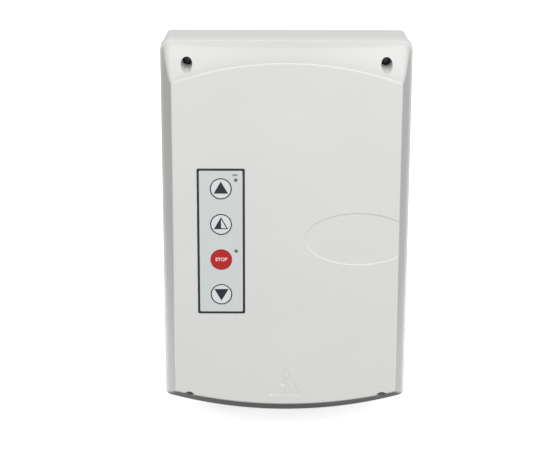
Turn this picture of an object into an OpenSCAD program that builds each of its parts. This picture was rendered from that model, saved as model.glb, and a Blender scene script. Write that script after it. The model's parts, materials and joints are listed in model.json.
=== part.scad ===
// Wall-mounted control unit for a motorised livestock-house door.
// Frame: X runs to the right seen from the front, Z runs up, the wall plane is y = 0
// and the front faces -Y. The origin is the centre of the four wall holes.
// Depths are measured from the wall plane towards the front, so y = -depth.

/* [Enclosure] */
// Width across the cover's rim
case_w = 188; // [184:1:230]
// Height from the top of the rim to the lowest point of the bottom arc
case_h = 300; // [290:1:360]
// Depth of the rear housing, from the wall to the joint with the cover
housing_depth = 48; // [44:1:60]
// Depth of the front cover, from the joint to the front face
cover_depth = 67; // [62:1:82]
// Wall thickness of the rear housing
housing_wall = 3.2; // [2.6:0.1:4]
// Wall thickness of the front cover
cover_wall = 3; // [2.5:0.1:3.6]
// Gap between pieces that come apart
part_gap = 0.3; // [0.2:0.05:0.5]

/* [Cover shape] */
// Depth of the rim around the cover's joint
rim_depth = 12; // [8:1:16]
// Step from the rim to the side wall
rim_step = 2; // [1.5:0.5:4]
// Step from the rim down to the flat top behind the ridge
top_step = 0.9; // [0.6:0.1:2]
// How far the side wall leans in between the rim and the front face
side_lean = 9.4; // [6:0.2:12]
// Rise of the sloping underside between the joint and the front face
bottom_rise = 32.6; // [24:0.2:36]
// Radius of the arc along the bottom edge
bottom_radius = 340; // [300:1:420]
// Radius of the arched crest at the top of the front face
crest_radius = 240; // [220:1:400]
// Drop from the rim's top to the crest, at its middle
crest_drop = 6.8; // [5:0.2:12]
// Drop from the rim's top to the ridge behind the scoop
ridge_drop = 2.5; // [2:0.1:4]
// Distance of the ridge in front of the joint, at its middle
ridge_offset = 32; // [24:1:36]
// Radius of the ridge seen from above
ridge_radius = 318; // [260:1:400]
// Radius of the enclosure's upright edges
edge_r = 7; // [5:0.5:8]

/* [Cover screws and seal] */
// Distance between the left and right cover screws
screw_span_w = 145; // [135:1:150]
// Distance of the upper screws below the rim's top
upper_screw_drop = 12.5; // [11:0.5:16]
// Height of the lower screws above the lowest point
lower_screw_rise = 38.5; // [37:0.5:44]
// Shank diameter of a cover screw
screw_d = 4; // [3.5:0.1:4.5]
// Head diameter of a cover screw
screw_head_d = 7.6; // [7:0.1:8]
// Diameter of the deep pocket that each screw sits in
pocket_d = 8.6; // [8.4:0.1:9.4]
// Distance of the screw's seat in front of the joint
seat_offset = 22; // [16:1:24]
// Width of the rubber seal's groove
groove_w = 3.4; // [3:0.1:3.8]

/* [Wall mounting] */
// Diameter of the four wall holes
wall_hole_d = 5.5; // [4.5:0.1:6.5]
// Distance between the left and right wall holes
wall_holes_w = 120; // [110:1:126]
// Distance between the upper and lower wall holes
wall_holes_h = 200; // [192:1:204]
// Height of the pads that stand on the wall
pad_h = 1; // [0.6:0.1:1.5]

/* [Keypad] */
// Width of the keypad
keypad_w = 34.8; // [32:0.2:40]
// Height of the keypad
keypad_h = 110.9; // [108:0.1:126]
// Sideways place of the keypad's centre
keypad_x = -47.5; // [-52:0.5:-40]
// Height of the keypad's centre above the origin
keypad_z = 10.4; // [5:0.2:20]
// Distance from key to key
key_pitch = 26.9; // [24:0.1:30]
// Diameter of a key's face
key_d = 16.8; // [15:0.1:18]
// Travel of a key
key_travel = 0.35; // [0.2:0.05:0.4]

/* [Electronics] */
// Width of the main circuit board
board_w = 160; // [156:1:166]
// Height of the main circuit board
board_h = 170; // [166:1:172]
// Thickness of the main circuit board
board_t = 1.6; // [1.2:0.1:2.4]
// Height of the pillars that carry the board
pillar_h = 8; // [5:1:12]

/* [Cable glands] */
// Thread diameter of a cable gland
gland_d = 20; // [16:0.5:22]
// Diameter of the cable that a gland's seal takes
cable_d = 10; // [6:0.5:11]
// Distance from gland to gland
gland_pitch = 32; // [30:1:34]
// Distance of the gland row from the wall
gland_depth = 24; // [19:0.5:26]

/* [Hidden] */
$fn = 48;
bite = 0.5;            // overlap that makes two shapes of one piece join
slip = 0.1;            // gap between a loose piece and the seat it rests on

// Enclosure
rim_half = case_w / 2;
case_top = case_h / 2;
case_low = -case_h / 2;
apron_h = 28;          // how far the cover hangs below the rear housing
housing_low = case_low + apron_h;
housing_rear_half = rim_half - 1.8;
housing_front_half = rim_half - 1.2;
housing_rear_top = case_top - 2.6;
housing_front_top = case_top - 1.6;
housing_lip = housing_depth - part_gap;
housing_edge_r = 4;    // radius of the housing's upright edges
floor_d = pad_h + housing_wall;      // depth of the housing's inner floor
face_depth = housing_depth + cover_depth;

// Cover
main_depth = housing_depth + rim_depth + 0.6;
main_half = rim_half - rim_step;
face_half = main_half - side_lean;
face_wall = cover_wall + 0.6;
ridge_z = case_top - ridge_drop;
face_low = case_low + bottom_rise;
rim_wall = 7;          // cover wall around the seal's groove
edge_fillet = 1.2;     // rounding between the side wall and the front face
cove_power = 1.7;      // above 1 makes the scoop hollow
rib_top = housing_low + housing_wall + 3.3;
rib_low = housing_low - 0.6;
groove_d = 3.2;

// Cover screws
screw_x = screw_span_w / 2;
upper_screw_z = case_top - upper_screw_drop;
lower_screw_z = case_low + lower_screw_rise;
seat_depth = housing_depth + seat_offset;
seat_wall = 3;
screw_hole_d = screw_d + 0.6;
tube_d = pocket_d + 4.4;
post_d = 11;
insert_len = 10;
insert_d = 6.4;

// Keypad, from the recess's floor to the overlay
keypad_recess = 1.8;
recess_depth = face_depth - keypad_recess;
circuit_t = 0.4;
spacer_t = 1.0;
overlay_t = keypad_recess - circuit_t - spacer_t;
dome_h = 0.2;
key_flange_t = 0.3;
key_gap = 0.05;
key_proud = 0.12;      // how far a key stands in front of the overlay
key_z = [for (i = [0 : 3]) keypad_z + (1.5 - i) * key_pitch];
tail_z = keypad_z - keypad_h / 2 + 5;
lamp_offset = [10.9, 6.5];
lamp_d = 2.6;

// Board and what stands on it
earth_z = -wall_holes_h / 2;
board_back = floor_d + pillar_h;
board_front = board_back + board_t;
board_hole_x = board_w / 2 - 5;
board_hole_z = board_h / 2 - 5;
board_hole_d = 3.4;
pilot_d = 2.5;
terminal_z = -board_h / 2 + 9.5;
terminal_h = 15;
terminal_d = 15;
terminal_gap = 3;
pole_pitch = 7.2;
mains_poles = 5;
motor_poles = 5;
control_poles = 8;
mains_x = -board_hole_x + 5 + mains_poles * pole_pitch / 2;
motor_x = mains_x + (mains_poles + motor_poles) * pole_pitch / 2 + terminal_gap;
control_x = board_hole_x - 6 - control_poles * pole_pitch / 2;
header_x = keypad_x;
header_z = -51;
fuse_x = -board_w / 2 + 10;
fuse_z = -45;
transformer_x = -board_w / 2 + 36;
transformer_z = board_h / 2 - 36;
selector_x = board_w / 2 - 20;
selector_z = 2;
button_x = [board_w / 2 - 28, board_w / 2 - 12];
button_z = -14;
button_travel = 0.4;

// Glands
gland_x = [for (i = [0 : 3]) (i - 1.5) * gland_pitch];
gland_af = gland_d + 4;
gland_flange_h = 4;
gland_stub_h = 15;
gland_nut_h = 18;

// ---------------------------------------------------------------- shared shapes

// Extrudes a shape drawn in X and Z from one depth to a greater one.
module between(d0, d1)
    translate([0, -d0, 0]) rotate([90, 0, 0]) linear_extrude(d1 - d0) children();

// A cylinder that points forwards, from one depth to a greater one.
module rod(d, d0, d1, x = 0, z = 0)
    translate([x, -d0, z]) rotate([90, 0, 0]) cylinder(d = d, h = d1 - d0);

module tube(od, id, d0, d1, x = 0, z = 0)
    difference() { rod(od, d0, d1, x, z); rod(id, d0 - 1, d1 + 1, x, z); }

// A block centred on x and z, from one depth to a greater one.
module block(w, h, d0, d1, x = 0, z = 0)
    translate([x - w / 2, -d1, z - h / 2]) cube([w, d1 - d0, h]);

module round_rect(w, h, r) {
    square([w - 2 * r, h], center = true);
    square([w, h - 2 * r], center = true);
    for (x = [-1, 1], z = [-1, 1])
        translate([x * (w / 2 - r), z * (h / 2 - r)]) circle(r);
}

module mirrored_pair() { children(); mirror([1, 0, 0]) children(); }

// Places children at all four cover screws.
module at_cover_screws()
    for (x = [-screw_x, screw_x], z = [upper_screw_z, lower_screw_z])
        translate([x, 0, z]) children();

// ---------------------------------------------------------------- rear housing

// The housing's drafted outline, moved inwards by skin; d0 and d1 are its end depths.
module housing_block(skin, d0, d1) {
    half0 = housing_rear_half - skin;
    half1 = housing_front_half - skin;
    top0 = housing_rear_top - skin;
    top1 = housing_front_top - skin;
    low = housing_low + skin;
    r = max(housing_edge_r - skin, 2);
    hull() {
        translate([0, 0, (top0 + low) / 2]) between(d0, d0 + 0.01)
            round_rect(2 * half0, top0 - low, r, $fn = 32);
        translate([0, 0, (top1 + low) / 2]) between(d1 - 0.01, d1)
            round_rect(2 * half1, top1 - low, r, $fn = 32);
    }
}

module board_pillars(d, d0, d1)
    for (x = [-1, 1], z = [-1 : 1])
        rod(d, d0, d1, x * board_hole_x, z * board_hole_z);

module rear_housing() color([0.86, 0.86, 0.85]) difference() {
    union() {
        difference() {
            housing_block(0, pad_h, housing_lip);
            housing_block(housing_wall, floor_d, housing_lip + 1);
        }
        for (x = [-1, 1], z = [-1, 1])
            rod(16, 0, pad_h + bite, x * wall_holes_w / 2, z * wall_holes_h / 2);
        at_cover_screws() rod(post_d, floor_d - bite, housing_lip);
        for (x = [-screw_x, screw_x]) {
            block(3, housing_front_top - 1 - upper_screw_z, floor_d - bite, housing_lip - 8,
                  x, (housing_front_top - 1 + upper_screw_z) / 2);
            block(3, lower_screw_z - housing_low - 1, floor_d - bite, housing_lip - 8,
                  x, (housing_low + 1 + lower_screw_z) / 2);
        }
        board_pillars(8, floor_d - bite, board_back);
        for (x = [-1, 1])
            block(8, 14, floor_d - bite, floor_d + 5, x * 24, earth_z);
    }
    for (x = [-1, 1], z = [-1, 1])
        rod(wall_hole_d, -1, floor_d + 1, x * wall_holes_w / 2, z * wall_holes_h / 2);
    at_cover_screws() {
        rod(insert_d, housing_lip - insert_len, housing_lip + 1);
        rod(screw_hole_d, housing_lip - insert_len - 8, housing_lip);
    }
    board_pillars(pilot_d, floor_d, board_back + 1);
    for (x = [-1, 1]) rod(pilot_d, floor_d - 1, floor_d + 6, x * 24, earth_z);
    for (x = gland_x)
        translate([x, -gland_depth, housing_low - 1])
            cylinder(d = gland_d + 0.6, h = housing_wall + 2);
}

module screw_inserts() color([0.78, 0.62, 0.3])
    at_cover_screws() tube(insert_d, screw_hole_d, housing_lip - insert_len, housing_lip);

module earth_bar() color([0.8, 0.65, 0.35]) {
    difference() {
        block(60, 9, floor_d + 5, floor_d + 11, 0, earth_z);
        for (x = [-1, 1]) rod(3.4, floor_d + 4, floor_d + 12, x * 24, earth_z);
        for (x = [-16 : 8 : 16]) {
            rod(3.2, floor_d + 4, floor_d + 12, x, earth_z);
            translate([x, -floor_d - 8, earth_z - 6]) cylinder(d = 3.6, h = 12);
        }
    }
    for (x = [-16 : 8 : 16]) slot_screw(3, 5.4, 1.8, floor_d + 10.2, x, earth_z, 0.6);
    for (x = [-1, 1]) slot_screw(2.4, 5.6, 2, floor_d + 11, x * 24, earth_z, 9);
}

// A slotted screw: shank below the seat depth and a head in front of it.
module slot_screw(d, head_d, head_h, seat, x, z, shank) {
    rod(d, seat - shank, seat + bite, x, z);
    difference() {
        rod(head_d, seat, seat + head_h, x, z);
        block(head_d + 1, head_d / 6, seat + head_h / 2, seat + head_h + 1, x, z);
    }
}

// ---------------------------------------------------------------- front cover

function arc_drop(x, r) = r - sqrt(r * r - x * x);
function crest_z(x) = case_top - crest_drop - arc_drop(x, crest_radius);
function ridge_depth(x) = housing_depth + ridge_offset - arc_drop(x, ridge_radius);
function mix(a, b, t) = a + (b - a) * t;

// Half width of the side wall at a depth.
function wall_half(depth) =
    main_half - side_lean * (depth - main_depth) / (face_depth - main_depth);
// Height of the underside's middle at a depth.
function wall_low(depth) = case_low + bottom_rise * (depth - housing_depth) / cover_depth;
// Share of the scoop's drop at t, from the ridge at 0 to the crest at 1.
function scoop(t) = 1 - pow(1 - t, cove_power);

// A loop of the skin is [t, depth, half, top, low, skin, front]: t below 0 is behind the
// ridge, where the loop is flat; from 0 to 1 the top follows the scoop out to front.
function loop_top(l, x) =
    l[0] < 0 ? l[3] : l[3] - (ridge_z - crest_z(x)) * scoop(l[0]);
function loop_depth(l, x) = l[0] < 0 ? l[1] : mix(ridge_depth(x), l[6], l[0]);

top_steps = 16;
low_steps = 12;
corner_steps = 3;
function corner(l, sx, sz, a0) =
    let (inner = l[2] - edge_r, low_edge = l[4] + arc_drop(inner, bottom_radius))
    [for (i = [0 : corner_steps])
        let (a = a0 + 90 * i / corner_steps,
             x = sx * inner + edge_r * cos(a),
             zc = sz > 0 ? loop_top(l, inner) - edge_r : low_edge + edge_r)
        [x, -(sz > 0 ? loop_depth(l, x) : l[1]), zc + edge_r * sin(a)]];
function skin_loop(l) =
    let (inner = l[2] - edge_r)
    concat(
        [for (i = [1 : low_steps - 1]) let (x = mix(-inner, inner, i / low_steps))
            [x, -l[1], l[4] + arc_drop(x, bottom_radius)]],
        corner(l, 1, -1, -90),
        corner(l, 1, 1, 0),
        [for (i = [1 : top_steps - 1]) let (x = mix(inner, -inner, i / top_steps))
            [x, -loop_depth(l, x), loop_top(l, x)]],
        corner(l, -1, 1, 90),
        corner(l, -1, -1, 180));

// Closes a stack of loops, rear first, into a solid.
module loft(loops) {
    n = len(loops[0]);
    last = len(loops) - 1;
    polyhedron(
        points = [for (l = loops, p = l) p],
        faces = concat(
            [[for (i = [0 : n - 1]) i], [for (i = [n - 1 : -1 : 0]) last * n + i]],
            [for (k = [0 : last - 1], i = [0 : n - 1])
                let (j = (i + 1) % n) [k * n + i, (k + 1) * n + i, (k + 1) * n + j]],
            [for (k = [0 : last - 1], i = [0 : n - 1])
                let (j = (i + 1) % n) [k * n + i, (k + 1) * n + j, k * n + j]]));
}

module cover_outside() {
    corner_depth = ridge_depth(rim_half);
    rear = [
        [-1, housing_depth, rim_half, case_top, case_low],
        [-1, main_depth - 0.6, rim_half - 0.4, case_top - 0.3, wall_low(main_depth - 0.6)],
        [-1, main_depth, main_half, case_top - top_step, wall_low(main_depth)]];
    scooped = [for (t = [0, 0.08, 0.2, 0.36, 0.54, 0.74, 1])
        let (front = face_depth - edge_fillet, depth = mix(corner_depth, front, t))
        [t, depth, wall_half(depth), ridge_z, wall_low(depth), 0, front]];
    face = [[1, face_depth, face_half - edge_fillet, ridge_z - edge_fillet,
             face_low + edge_fillet, 0, face_depth]];
    loft([for (l = concat(rear, scooped, face)) skin_loop(l)]);
}

module cover_inside() {
    corner_depth = ridge_depth(rim_half);
    front = face_depth - face_wall;
    rear_half = rim_half - rim_wall;
    rear = [
        [-1, housing_depth - 1, rear_half, case_top - rim_wall, case_low + cover_wall + 0.6],
        [-1, main_depth, rear_half, case_top - rim_wall, wall_low(main_depth) + cover_wall + 0.6]];
    scooped = [for (t = [0, 0.2, 0.5, 1])
        let (depth = mix(corner_depth, front, t))
        [t, depth, min(rear_half, wall_half(depth) - cover_wall),
         case_top - rim_wall, wall_low(depth) + cover_wall + 0.6, 0, front]];
    loft([for (l = concat(rear, scooped)) skin_loop(l)]);
}

// The rubber seal's outline, which follows the housing's front edge.
module seal_ring(w) {
    middle = housing_wall / 2;
    half = housing_front_half - middle;
    top = housing_front_top - middle;
    low = housing_low + middle;
    translate([0, (top + low) / 2]) difference() {
        round_rect(2 * half + w, top - low + w, housing_edge_r - 0.6 + w / 2);
        round_rect(2 * half - w, top - low - w, housing_edge_r - 0.6 - w / 2);
    }
}

module front_cover() color([0.88, 0.88, 0.87]) difference() {
    cover_outside();
    difference() {
        cover_inside();
        at_cover_screws() rod(tube_d, housing_depth, face_depth);
        block(case_w, rib_top - rib_low, housing_depth, housing_depth + 9,
              0, (rib_top + rib_low) / 2);
        block(case_w, cover_wall, housing_depth, face_depth,
              0, rib_low + cover_wall / 2);
    }
    at_cover_screws() {
        rod(pocket_d, seat_depth, face_depth + 1);
        rod(screw_hole_d, housing_depth - 1, seat_depth + 1);
        rod(screw_hole_d + 2.4, housing_depth - 1, housing_depth + 4);
    }
    between(housing_depth - 1, housing_depth + groove_d) seal_ring(groove_w);
    translate([keypad_x, 0, keypad_z])
        block(keypad_w + 0.4, keypad_h + 0.4, recess_depth, face_depth + 1);
    block(14, 2, face_depth - face_wall - 1, recess_depth + 1, keypad_x, tail_z);
}

module cover_seal() color([0.16, 0.16, 0.17])
    between(housing_depth, housing_depth + groove_d) seal_ring(groove_w - 0.2);

module screw_retainers() color([0.2, 0.2, 0.2])
    at_cover_screws() tube(screw_hole_d + 2, screw_d + 0.2, housing_depth + 1, housing_depth + 3);

// A cover screw with a cross-slotted head; its shank reaches into the insert.
module cover_screw(x, z) color([0.3, 0.3, 0.32]) translate([x, 0, z]) {
    rod(screw_d, housing_lip - insert_len - 4, seat_depth + slip + bite);
    difference() {
        rod(screw_head_d, seat_depth + slip, seat_depth + slip + 3);
        for (a = [0, 90]) rotate([0, a, 0])
            block(5, 1.1, seat_depth + slip + 1.2, seat_depth + slip + 4);
    }
}
module cover_screw_upper_left() cover_screw(-screw_x, upper_screw_z);
module cover_screw_upper_right() cover_screw(screw_x, upper_screw_z);
module cover_screw_lower_left() cover_screw(-screw_x, lower_screw_z);
module cover_screw_lower_right() cover_screw(screw_x, lower_screw_z);

// ---------------------------------------------------------------- keypad

module keypad_sheet(d0, d1)
    block(keypad_w, keypad_h, d0, d1, keypad_x, keypad_z);
module at_keys() for (z = key_z) translate([keypad_x, 0, z]) children();
module at_lamps() for (z = [key_z[0], key_z[2]])
    translate([keypad_x + lamp_offset[0], 0, z + lamp_offset[1]]) children();

circuit_front = recess_depth + circuit_t;
overlay_back = circuit_front + spacer_t;

module keypad_circuit() color([0.75, 0.72, 0.55]) keypad_sheet(recess_depth, circuit_front);

module key_domes() color([0.8, 0.8, 0.82])
    at_keys() rod(10, circuit_front, circuit_front + dome_h);

module keypad_spacer() color([0.9, 0.9, 0.88]) difference() {
    keypad_sheet(circuit_front, overlay_back);
    at_keys() rod(key_d + 3.2, circuit_front - 1, overlay_back + 1);
    at_lamps() rod(lamp_d + 0.4, circuit_front - 1, overlay_back + 1);
}

module keypad_overlay() color([0.8, 0.82, 0.82]) difference() {
    keypad_sheet(overlay_back, overlay_back + overlay_t);
    at_keys() rod(key_d + 0.6, overlay_back - 1, face_depth + 1);
    at_lamps() rod(lamp_d + 0.1, overlay_back - 1, face_depth + 1);
}

module lamp_windows() color([0.6, 0.66, 0.6])
    at_lamps() rod(lamp_d, circuit_front + 0.1, face_depth + 0.05);

// A key: a round face that stands proud of the overlay and a wider flange behind it.
module key(i) translate([keypad_x, 0, key_z[i]]) {
    rod(key_d + 2.2, overlay_back - key_gap - key_flange_t, overlay_back - key_gap);
    rod(key_d, overlay_back - key_gap - bite / 4, face_depth + key_proud);
}
module open_key() color([0.8, 0.82, 0.82]) key(0);
module partial_open_key() color([0.8, 0.82, 0.82]) key(1);
module stop_key() color([0.75, 0.12, 0.13]) key(2);
module close_key() color([0.8, 0.82, 0.82]) key(3);

// The flat tail runs back from the keypad to its plug in one S-shaped bend.
plug_back = board_front + 7.3;
plug_front = plug_back + 11;
tail_steps = 16;
function smooth(t) = t * t * (3 - 2 * t);
function tail_height(t) = mix(header_z, tail_z, smooth(t));
module keypad_tail() color([0.85, 0.6, 0.2]) translate([keypad_x - 6, 0, 0])
    rotate([90, 0, 90]) linear_extrude(12) polygon(concat(
        [for (i = [0 : tail_steps]) let (t = i / tail_steps)
            [-mix(plug_front, recess_depth, t), tail_height(t) + 0.15]],
        [for (i = [tail_steps : -1 : 0]) let (t = i / tail_steps)
            [-mix(plug_front, recess_depth, t), tail_height(t) - 0.15]]));

module tail_plug() color([0.15, 0.15, 0.16]) difference() {
    block(16, 6, plug_back, plug_front, header_x, header_z);
    block(13, 3, plug_back - 1, plug_back + 8.6, header_x, header_z);
    for (x = [-1, 1]) block(1, 7, plug_back + 2, plug_back + 6, header_x + x * 8, header_z);
}

module ribbon_header() color([0.15, 0.15, 0.16]) {
    block(16, 6, board_front, plug_back - part_gap, header_x, header_z);
    for (i = [-2.5 : 2.5]) rod(0.7, plug_back - part_gap - bite, plug_back + 7, header_x + i * 2, header_z);
}

// ---------------------------------------------------------------- main board

module main_board() color([0.1, 0.36, 0.2]) difference() {
    block(board_w, board_h, board_back, board_front);
    board_pillars(board_hole_d, board_back - 1, board_front + 1);
    for (x = [-1, 1]) rod(4, board_back - 1, board_front + 1,
                          transformer_x + x * 27, transformer_z);
}

module board_screws() color([0.72, 0.72, 0.74])
    for (x = [-1, 1], z = [-1 : 1])
        slot_screw(pilot_d - 0.1, 5.6, 2.2, board_front, x * board_hole_x,
                   z * board_hole_z, 8);

// The core's window leaves a middle leg for the winding.
core_back = board_front + 7;
core_t = 16;
module transformer_core() color([0.35, 0.35, 0.37])
    translate([transformer_x, 0, transformer_z]) difference() {
        block(48, 40, core_back, core_back + core_t);
        for (x = [-1, 1]) block(8, 24, core_back - 1, core_back + core_t + 1, x * 12, 0);
    }

module transformer_winding() color([0.75, 0.4, 0.15])
    translate([transformer_x, 0, transformer_z]) {
        difference() {
            block(31.6, 23.6, core_back - 6, core_back + core_t + 6);
            block(16.4, 26, core_back - 0.2, core_back + core_t + 0.2);
        }
        for (x = [-12, -4, 4, 12], z = [-9, 9]) rod(1.2, board_front, core_back - 6 + bite, x, z);
    }

module transformer_clamp() color([0.7, 0.7, 0.72])
    translate([transformer_x, 0, transformer_z]) {
        front = core_back + core_t + 0.1;
        for (z = [-1, 1]) block(52.2, 6, front, front + 1.2, 0, z * 16);
        for (x = [-1, 1]) {
            block(1.2, 38, board_front, front + 1.2, x * 25.5, 0);
            difference() {
                block(8, 12, board_front, board_front + 1.2, x * 28.9, 0);
                rod(3.2, board_front - 1, board_front + 3, x * 29.5, 0);
            }
        }
    }

// The upright fuse holder; its cap turns a quarter and lifts off with the fuse.
fuse_front = board_front + 26;
module fuse_holder() color([0.12, 0.12, 0.13]) difference() {
    rod(12, board_front, fuse_front, fuse_x, fuse_z);
    rod(6.6, board_front + 2, fuse_front + 1, fuse_x, fuse_z);
}
module fuse_cap() color([0.16, 0.16, 0.17]) translate([fuse_x, 0, fuse_z]) {
    difference() {
        rod(12, fuse_front + part_gap, fuse_front + 7);
        block(8, 1.4, fuse_front + 5, fuse_front + 8);
    }
    rod(5.8, fuse_front - 3, fuse_front + part_gap + bite);
}
module fuse_link() color([0.8, 0.85, 0.85])
    rod(5, fuse_front - 23, fuse_front - 3, fuse_x, fuse_z);

// One row of poles: a wire entry below and a screw well in front of each.
module terminal_row(x0, poles) difference() {
    block(poles * pole_pitch, terminal_h, board_front, board_front + terminal_d, x0, terminal_z);
    for (i = [0 : poles - 1]) {
        x = x0 + (i - (poles - 1) / 2) * pole_pitch;
        rod(4.6, board_front + 9, board_front + terminal_d + 1, x, terminal_z + 2);
        block(5, 8, board_front + 3, board_front + 8, x, terminal_z - terminal_h / 2 + 3);
    }
}
module mains_terminal() color([0.2, 0.5, 0.3]) terminal_row(mains_x, mains_poles);
module motor_terminal() color([0.2, 0.5, 0.3]) terminal_row(motor_x, motor_poles);
module control_terminals() color([0.2, 0.5, 0.3]) terminal_row(control_x, control_poles);
module terminal_screws() color([0.75, 0.75, 0.77])
    for (row = [[mains_x, mains_poles], [motor_x, motor_poles], [control_x, control_poles]],
         i = [0 : row[1] - 1])
        slot_screw(3, 4.2, 2, board_front + 10, row[0] + (i - (row[1] - 1) / 2) * pole_pitch,
                   terminal_z + 2, 1);

relay_x = [for (i = [0 : 2]) board_w / 2 - 15 - 20 * i];
relay_z = -46;
module relays() color([0.12, 0.3, 0.6])
    for (x = relay_x) {
        block(16, 21, board_front, board_front + 16, x, relay_z);
        block(13, 18, board_front + 16 - bite, board_front + 16.6, x, relay_z);
    }

module power_capacitors() color([0.15, 0.15, 0.25])
    for (c = [[-1, 62, 18, 27], [-1, 38, 16, 22], [-1, 18, 10, 16]])
        translate([c[0], 0, c[1]]) {
            rod(c[2], board_front, board_front + c[3]);
            rod(c[2] - 3, board_front + c[3] - bite, board_front + c[3] + 0.4);
        }

module surge_discs() color([0.15, 0.35, 0.6])
    for (x = [-16, -2]) translate([x, 0, -44]) {
        translate([-2, -board_front - 9, 0]) rotate([0, 90, 0]) cylinder(d = 14, h = 4);
        for (z = [-3.5, 3.5]) rod(1, board_front, board_front + 6, 0, z);
    }

module filter_choke() color([0.7, 0.35, 0.12]) translate([-26, -board_front - 6.2, -14])
    rotate([90, 0, 0]) rotate_extrude() translate([8, 0]) circle(4);

sink_x = 32;
sink_z = 70;
module heat_sink() color([0.65, 0.66, 0.68]) {
    block(44, 3, board_front, board_front + 26, sink_x, sink_z);
    for (i = [-4 : 4]) block(1.4, 11, board_front + 2, board_front + 26, sink_x + i * 5.2, sink_z + 6.5);
}
module power_transistors() color([0.13, 0.13, 0.14])
    for (x = [-12, 12]) translate([sink_x + x, 0, sink_z - 1.5]) {
        block(10, 4.4, board_front + 6, board_front + 15, 0, -2.2);
        block(10, 1.3, board_front + 14.5, board_front + 21, 0, -0.65);
        for (i = [-1 : 1]) block(0.9, 0.6, board_front, board_front + 6.5, i * 2.54, -2.2);
    }

module chip(w, h, t, x, z, pins, pitch) translate([x, 0, z]) {
    block(w, h, board_front + 0.4, board_front + t);
    for (i = [0 : pins - 1], s = [-1, 1])
        block(1.6, pitch * 0.4, board_front, board_front + 0.8,
              s * (w / 2 + 0.5), (i - (pins - 1) / 2) * pitch);
}
module microcontroller() color([0.1, 0.1, 0.11]) {
    chip(14, 14, 2, 24, 22, 11, 1.1);
    translate([24, 0, 22]) for (i = [-5 : 5], s = [-1, 1])
        block(0.45, 1.6, board_front, board_front + 0.8, i * 1.1, s * 7.5);
}
module logic_chips() color([0.12, 0.12, 0.13]) {
    chip(6.4, 19, 3.6, 30, -10, 8, 2.2);
    chip(6.4, 19, 3.6, 12, -10, 8, 2.2);
    chip(6.4, 9.4, 3.6, -60, 0, 4, 2.2);
}

module status_display() color([0.2, 0.05, 0.06]) {
    x = board_w / 2 - 20;
    block(25, 19, board_front, board_front + 8, x, 30);
    block(23.6, 17.6, board_front + 8 - bite, board_front + 8.3, x, 30);
}

module selector_base() color([0.15, 0.2, 0.5]) difference() {
    block(10, 10, board_front, board_front + 5, selector_x, selector_z);
    rod(6.6, board_front + 1.5, board_front + 6, selector_x, selector_z);
}
module selector_knob() color([0.9, 0.9, 0.88]) difference() {
    rod(6, board_front + 1.7, board_front + 5.6, selector_x, selector_z);
    block(4.6, 1.1, board_front + 4.4, board_front + 6, selector_x, selector_z);
    block(1.4, 1.4, board_front + 5, board_front + 6, selector_x, selector_z + 2.2);
}

module button_bases() color([0.2, 0.2, 0.21])
    for (x = button_x) difference() {
        block(6.4, 6.4, board_front, board_front + 3.8, x, button_z);
        rod(4, board_front + 1, board_front + 5, x, button_z);
    }
module menu_button(x) rod(3.5, board_front + 1.1 + button_travel, board_front + 6, x, button_z);
module menu_button_up() color([0.85, 0.85, 0.83]) menu_button(button_x[0]);
module menu_button_down() color([0.85, 0.85, 0.83]) menu_button(button_x[1]);

module sounder() color([0.1, 0.1, 0.1]) difference() {
    rod(12, board_front, board_front + 8, -60, 18 - 40);
    rod(2, board_front + 5, board_front + 9, -60, 18 - 40);
}

// ---------------------------------------------------------------- cable glands

// Places children at the first three gland holes; the last one has a blanking plug.
module at_glands() for (i = [0 : 2]) translate([gland_x[i], -gland_depth, 0]) children();
module ring(od, id, z0, z1) translate([0, 0, z0]) difference() {
    cylinder(d = od, h = z1 - z0);
    translate([0, 0, -1]) cylinder(d = id, h = z1 - z0 + 2);
}
module hex_ring(af, id, z0, z1) translate([0, 0, z0]) difference() {
    cylinder(d = af / cos(30), h = z1 - z0, $fn = 6);
    translate([0, 0, -1]) cylinder(d = id, h = z1 - z0 + 2);
}
washer_h = 1;
nut_h = 5;
flange_top = housing_low - washer_h;
seal_od = gland_d - 4;
gland_bore = cable_d + 2;
housing_in = housing_low + housing_wall;

module gland_bodies() color([0.8, 0.8, 0.79]) at_glands() {
    ring(gland_d, gland_bore, flange_top - bite, housing_in + nut_h + 1.5);
    hex_ring(gland_af, gland_bore, flange_top - gland_flange_h, flange_top);
    ring(gland_d, seal_od + 0.4, flange_top - gland_flange_h - 9, flange_top - gland_flange_h + bite);
}
module gland_washers() color([0.15, 0.15, 0.15])
    at_glands() ring(gland_af - 2, gland_d + 0.6, housing_low - washer_h, housing_low);
module gland_lock_nuts() color([0.8, 0.8, 0.79])
    at_glands() hex_ring(gland_af, gland_d + 0.1, housing_in, housing_in + nut_h);
module gland_seals() color([0.15, 0.15, 0.15])
    at_glands() ring(seal_od, cable_d, flange_top - gland_flange_h - 10, flange_top - gland_flange_h - 0.2);
module gland_cap_nuts() color([0.8, 0.8, 0.79]) at_glands() {
    top = flange_top - gland_flange_h - slip;
    hex_ring(gland_af, gland_d + 0.2, top - gland_nut_h + 7, top);
    ring(gland_af, cable_d + 3, top - gland_nut_h + 2, top - gland_nut_h + 7.5);
}
module blanking_plug() color([0.8, 0.8, 0.79]) translate([gland_x[3], -gland_depth, 0]) {
    ring(gland_d, gland_bore, flange_top - bite, housing_in + 6);
    translate([0, 0, housing_low - 4]) cylinder(d = gland_af, h = 4);
    hex_ring(gland_af, gland_d + 0.1, housing_in, housing_in + nut_h);
}

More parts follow.
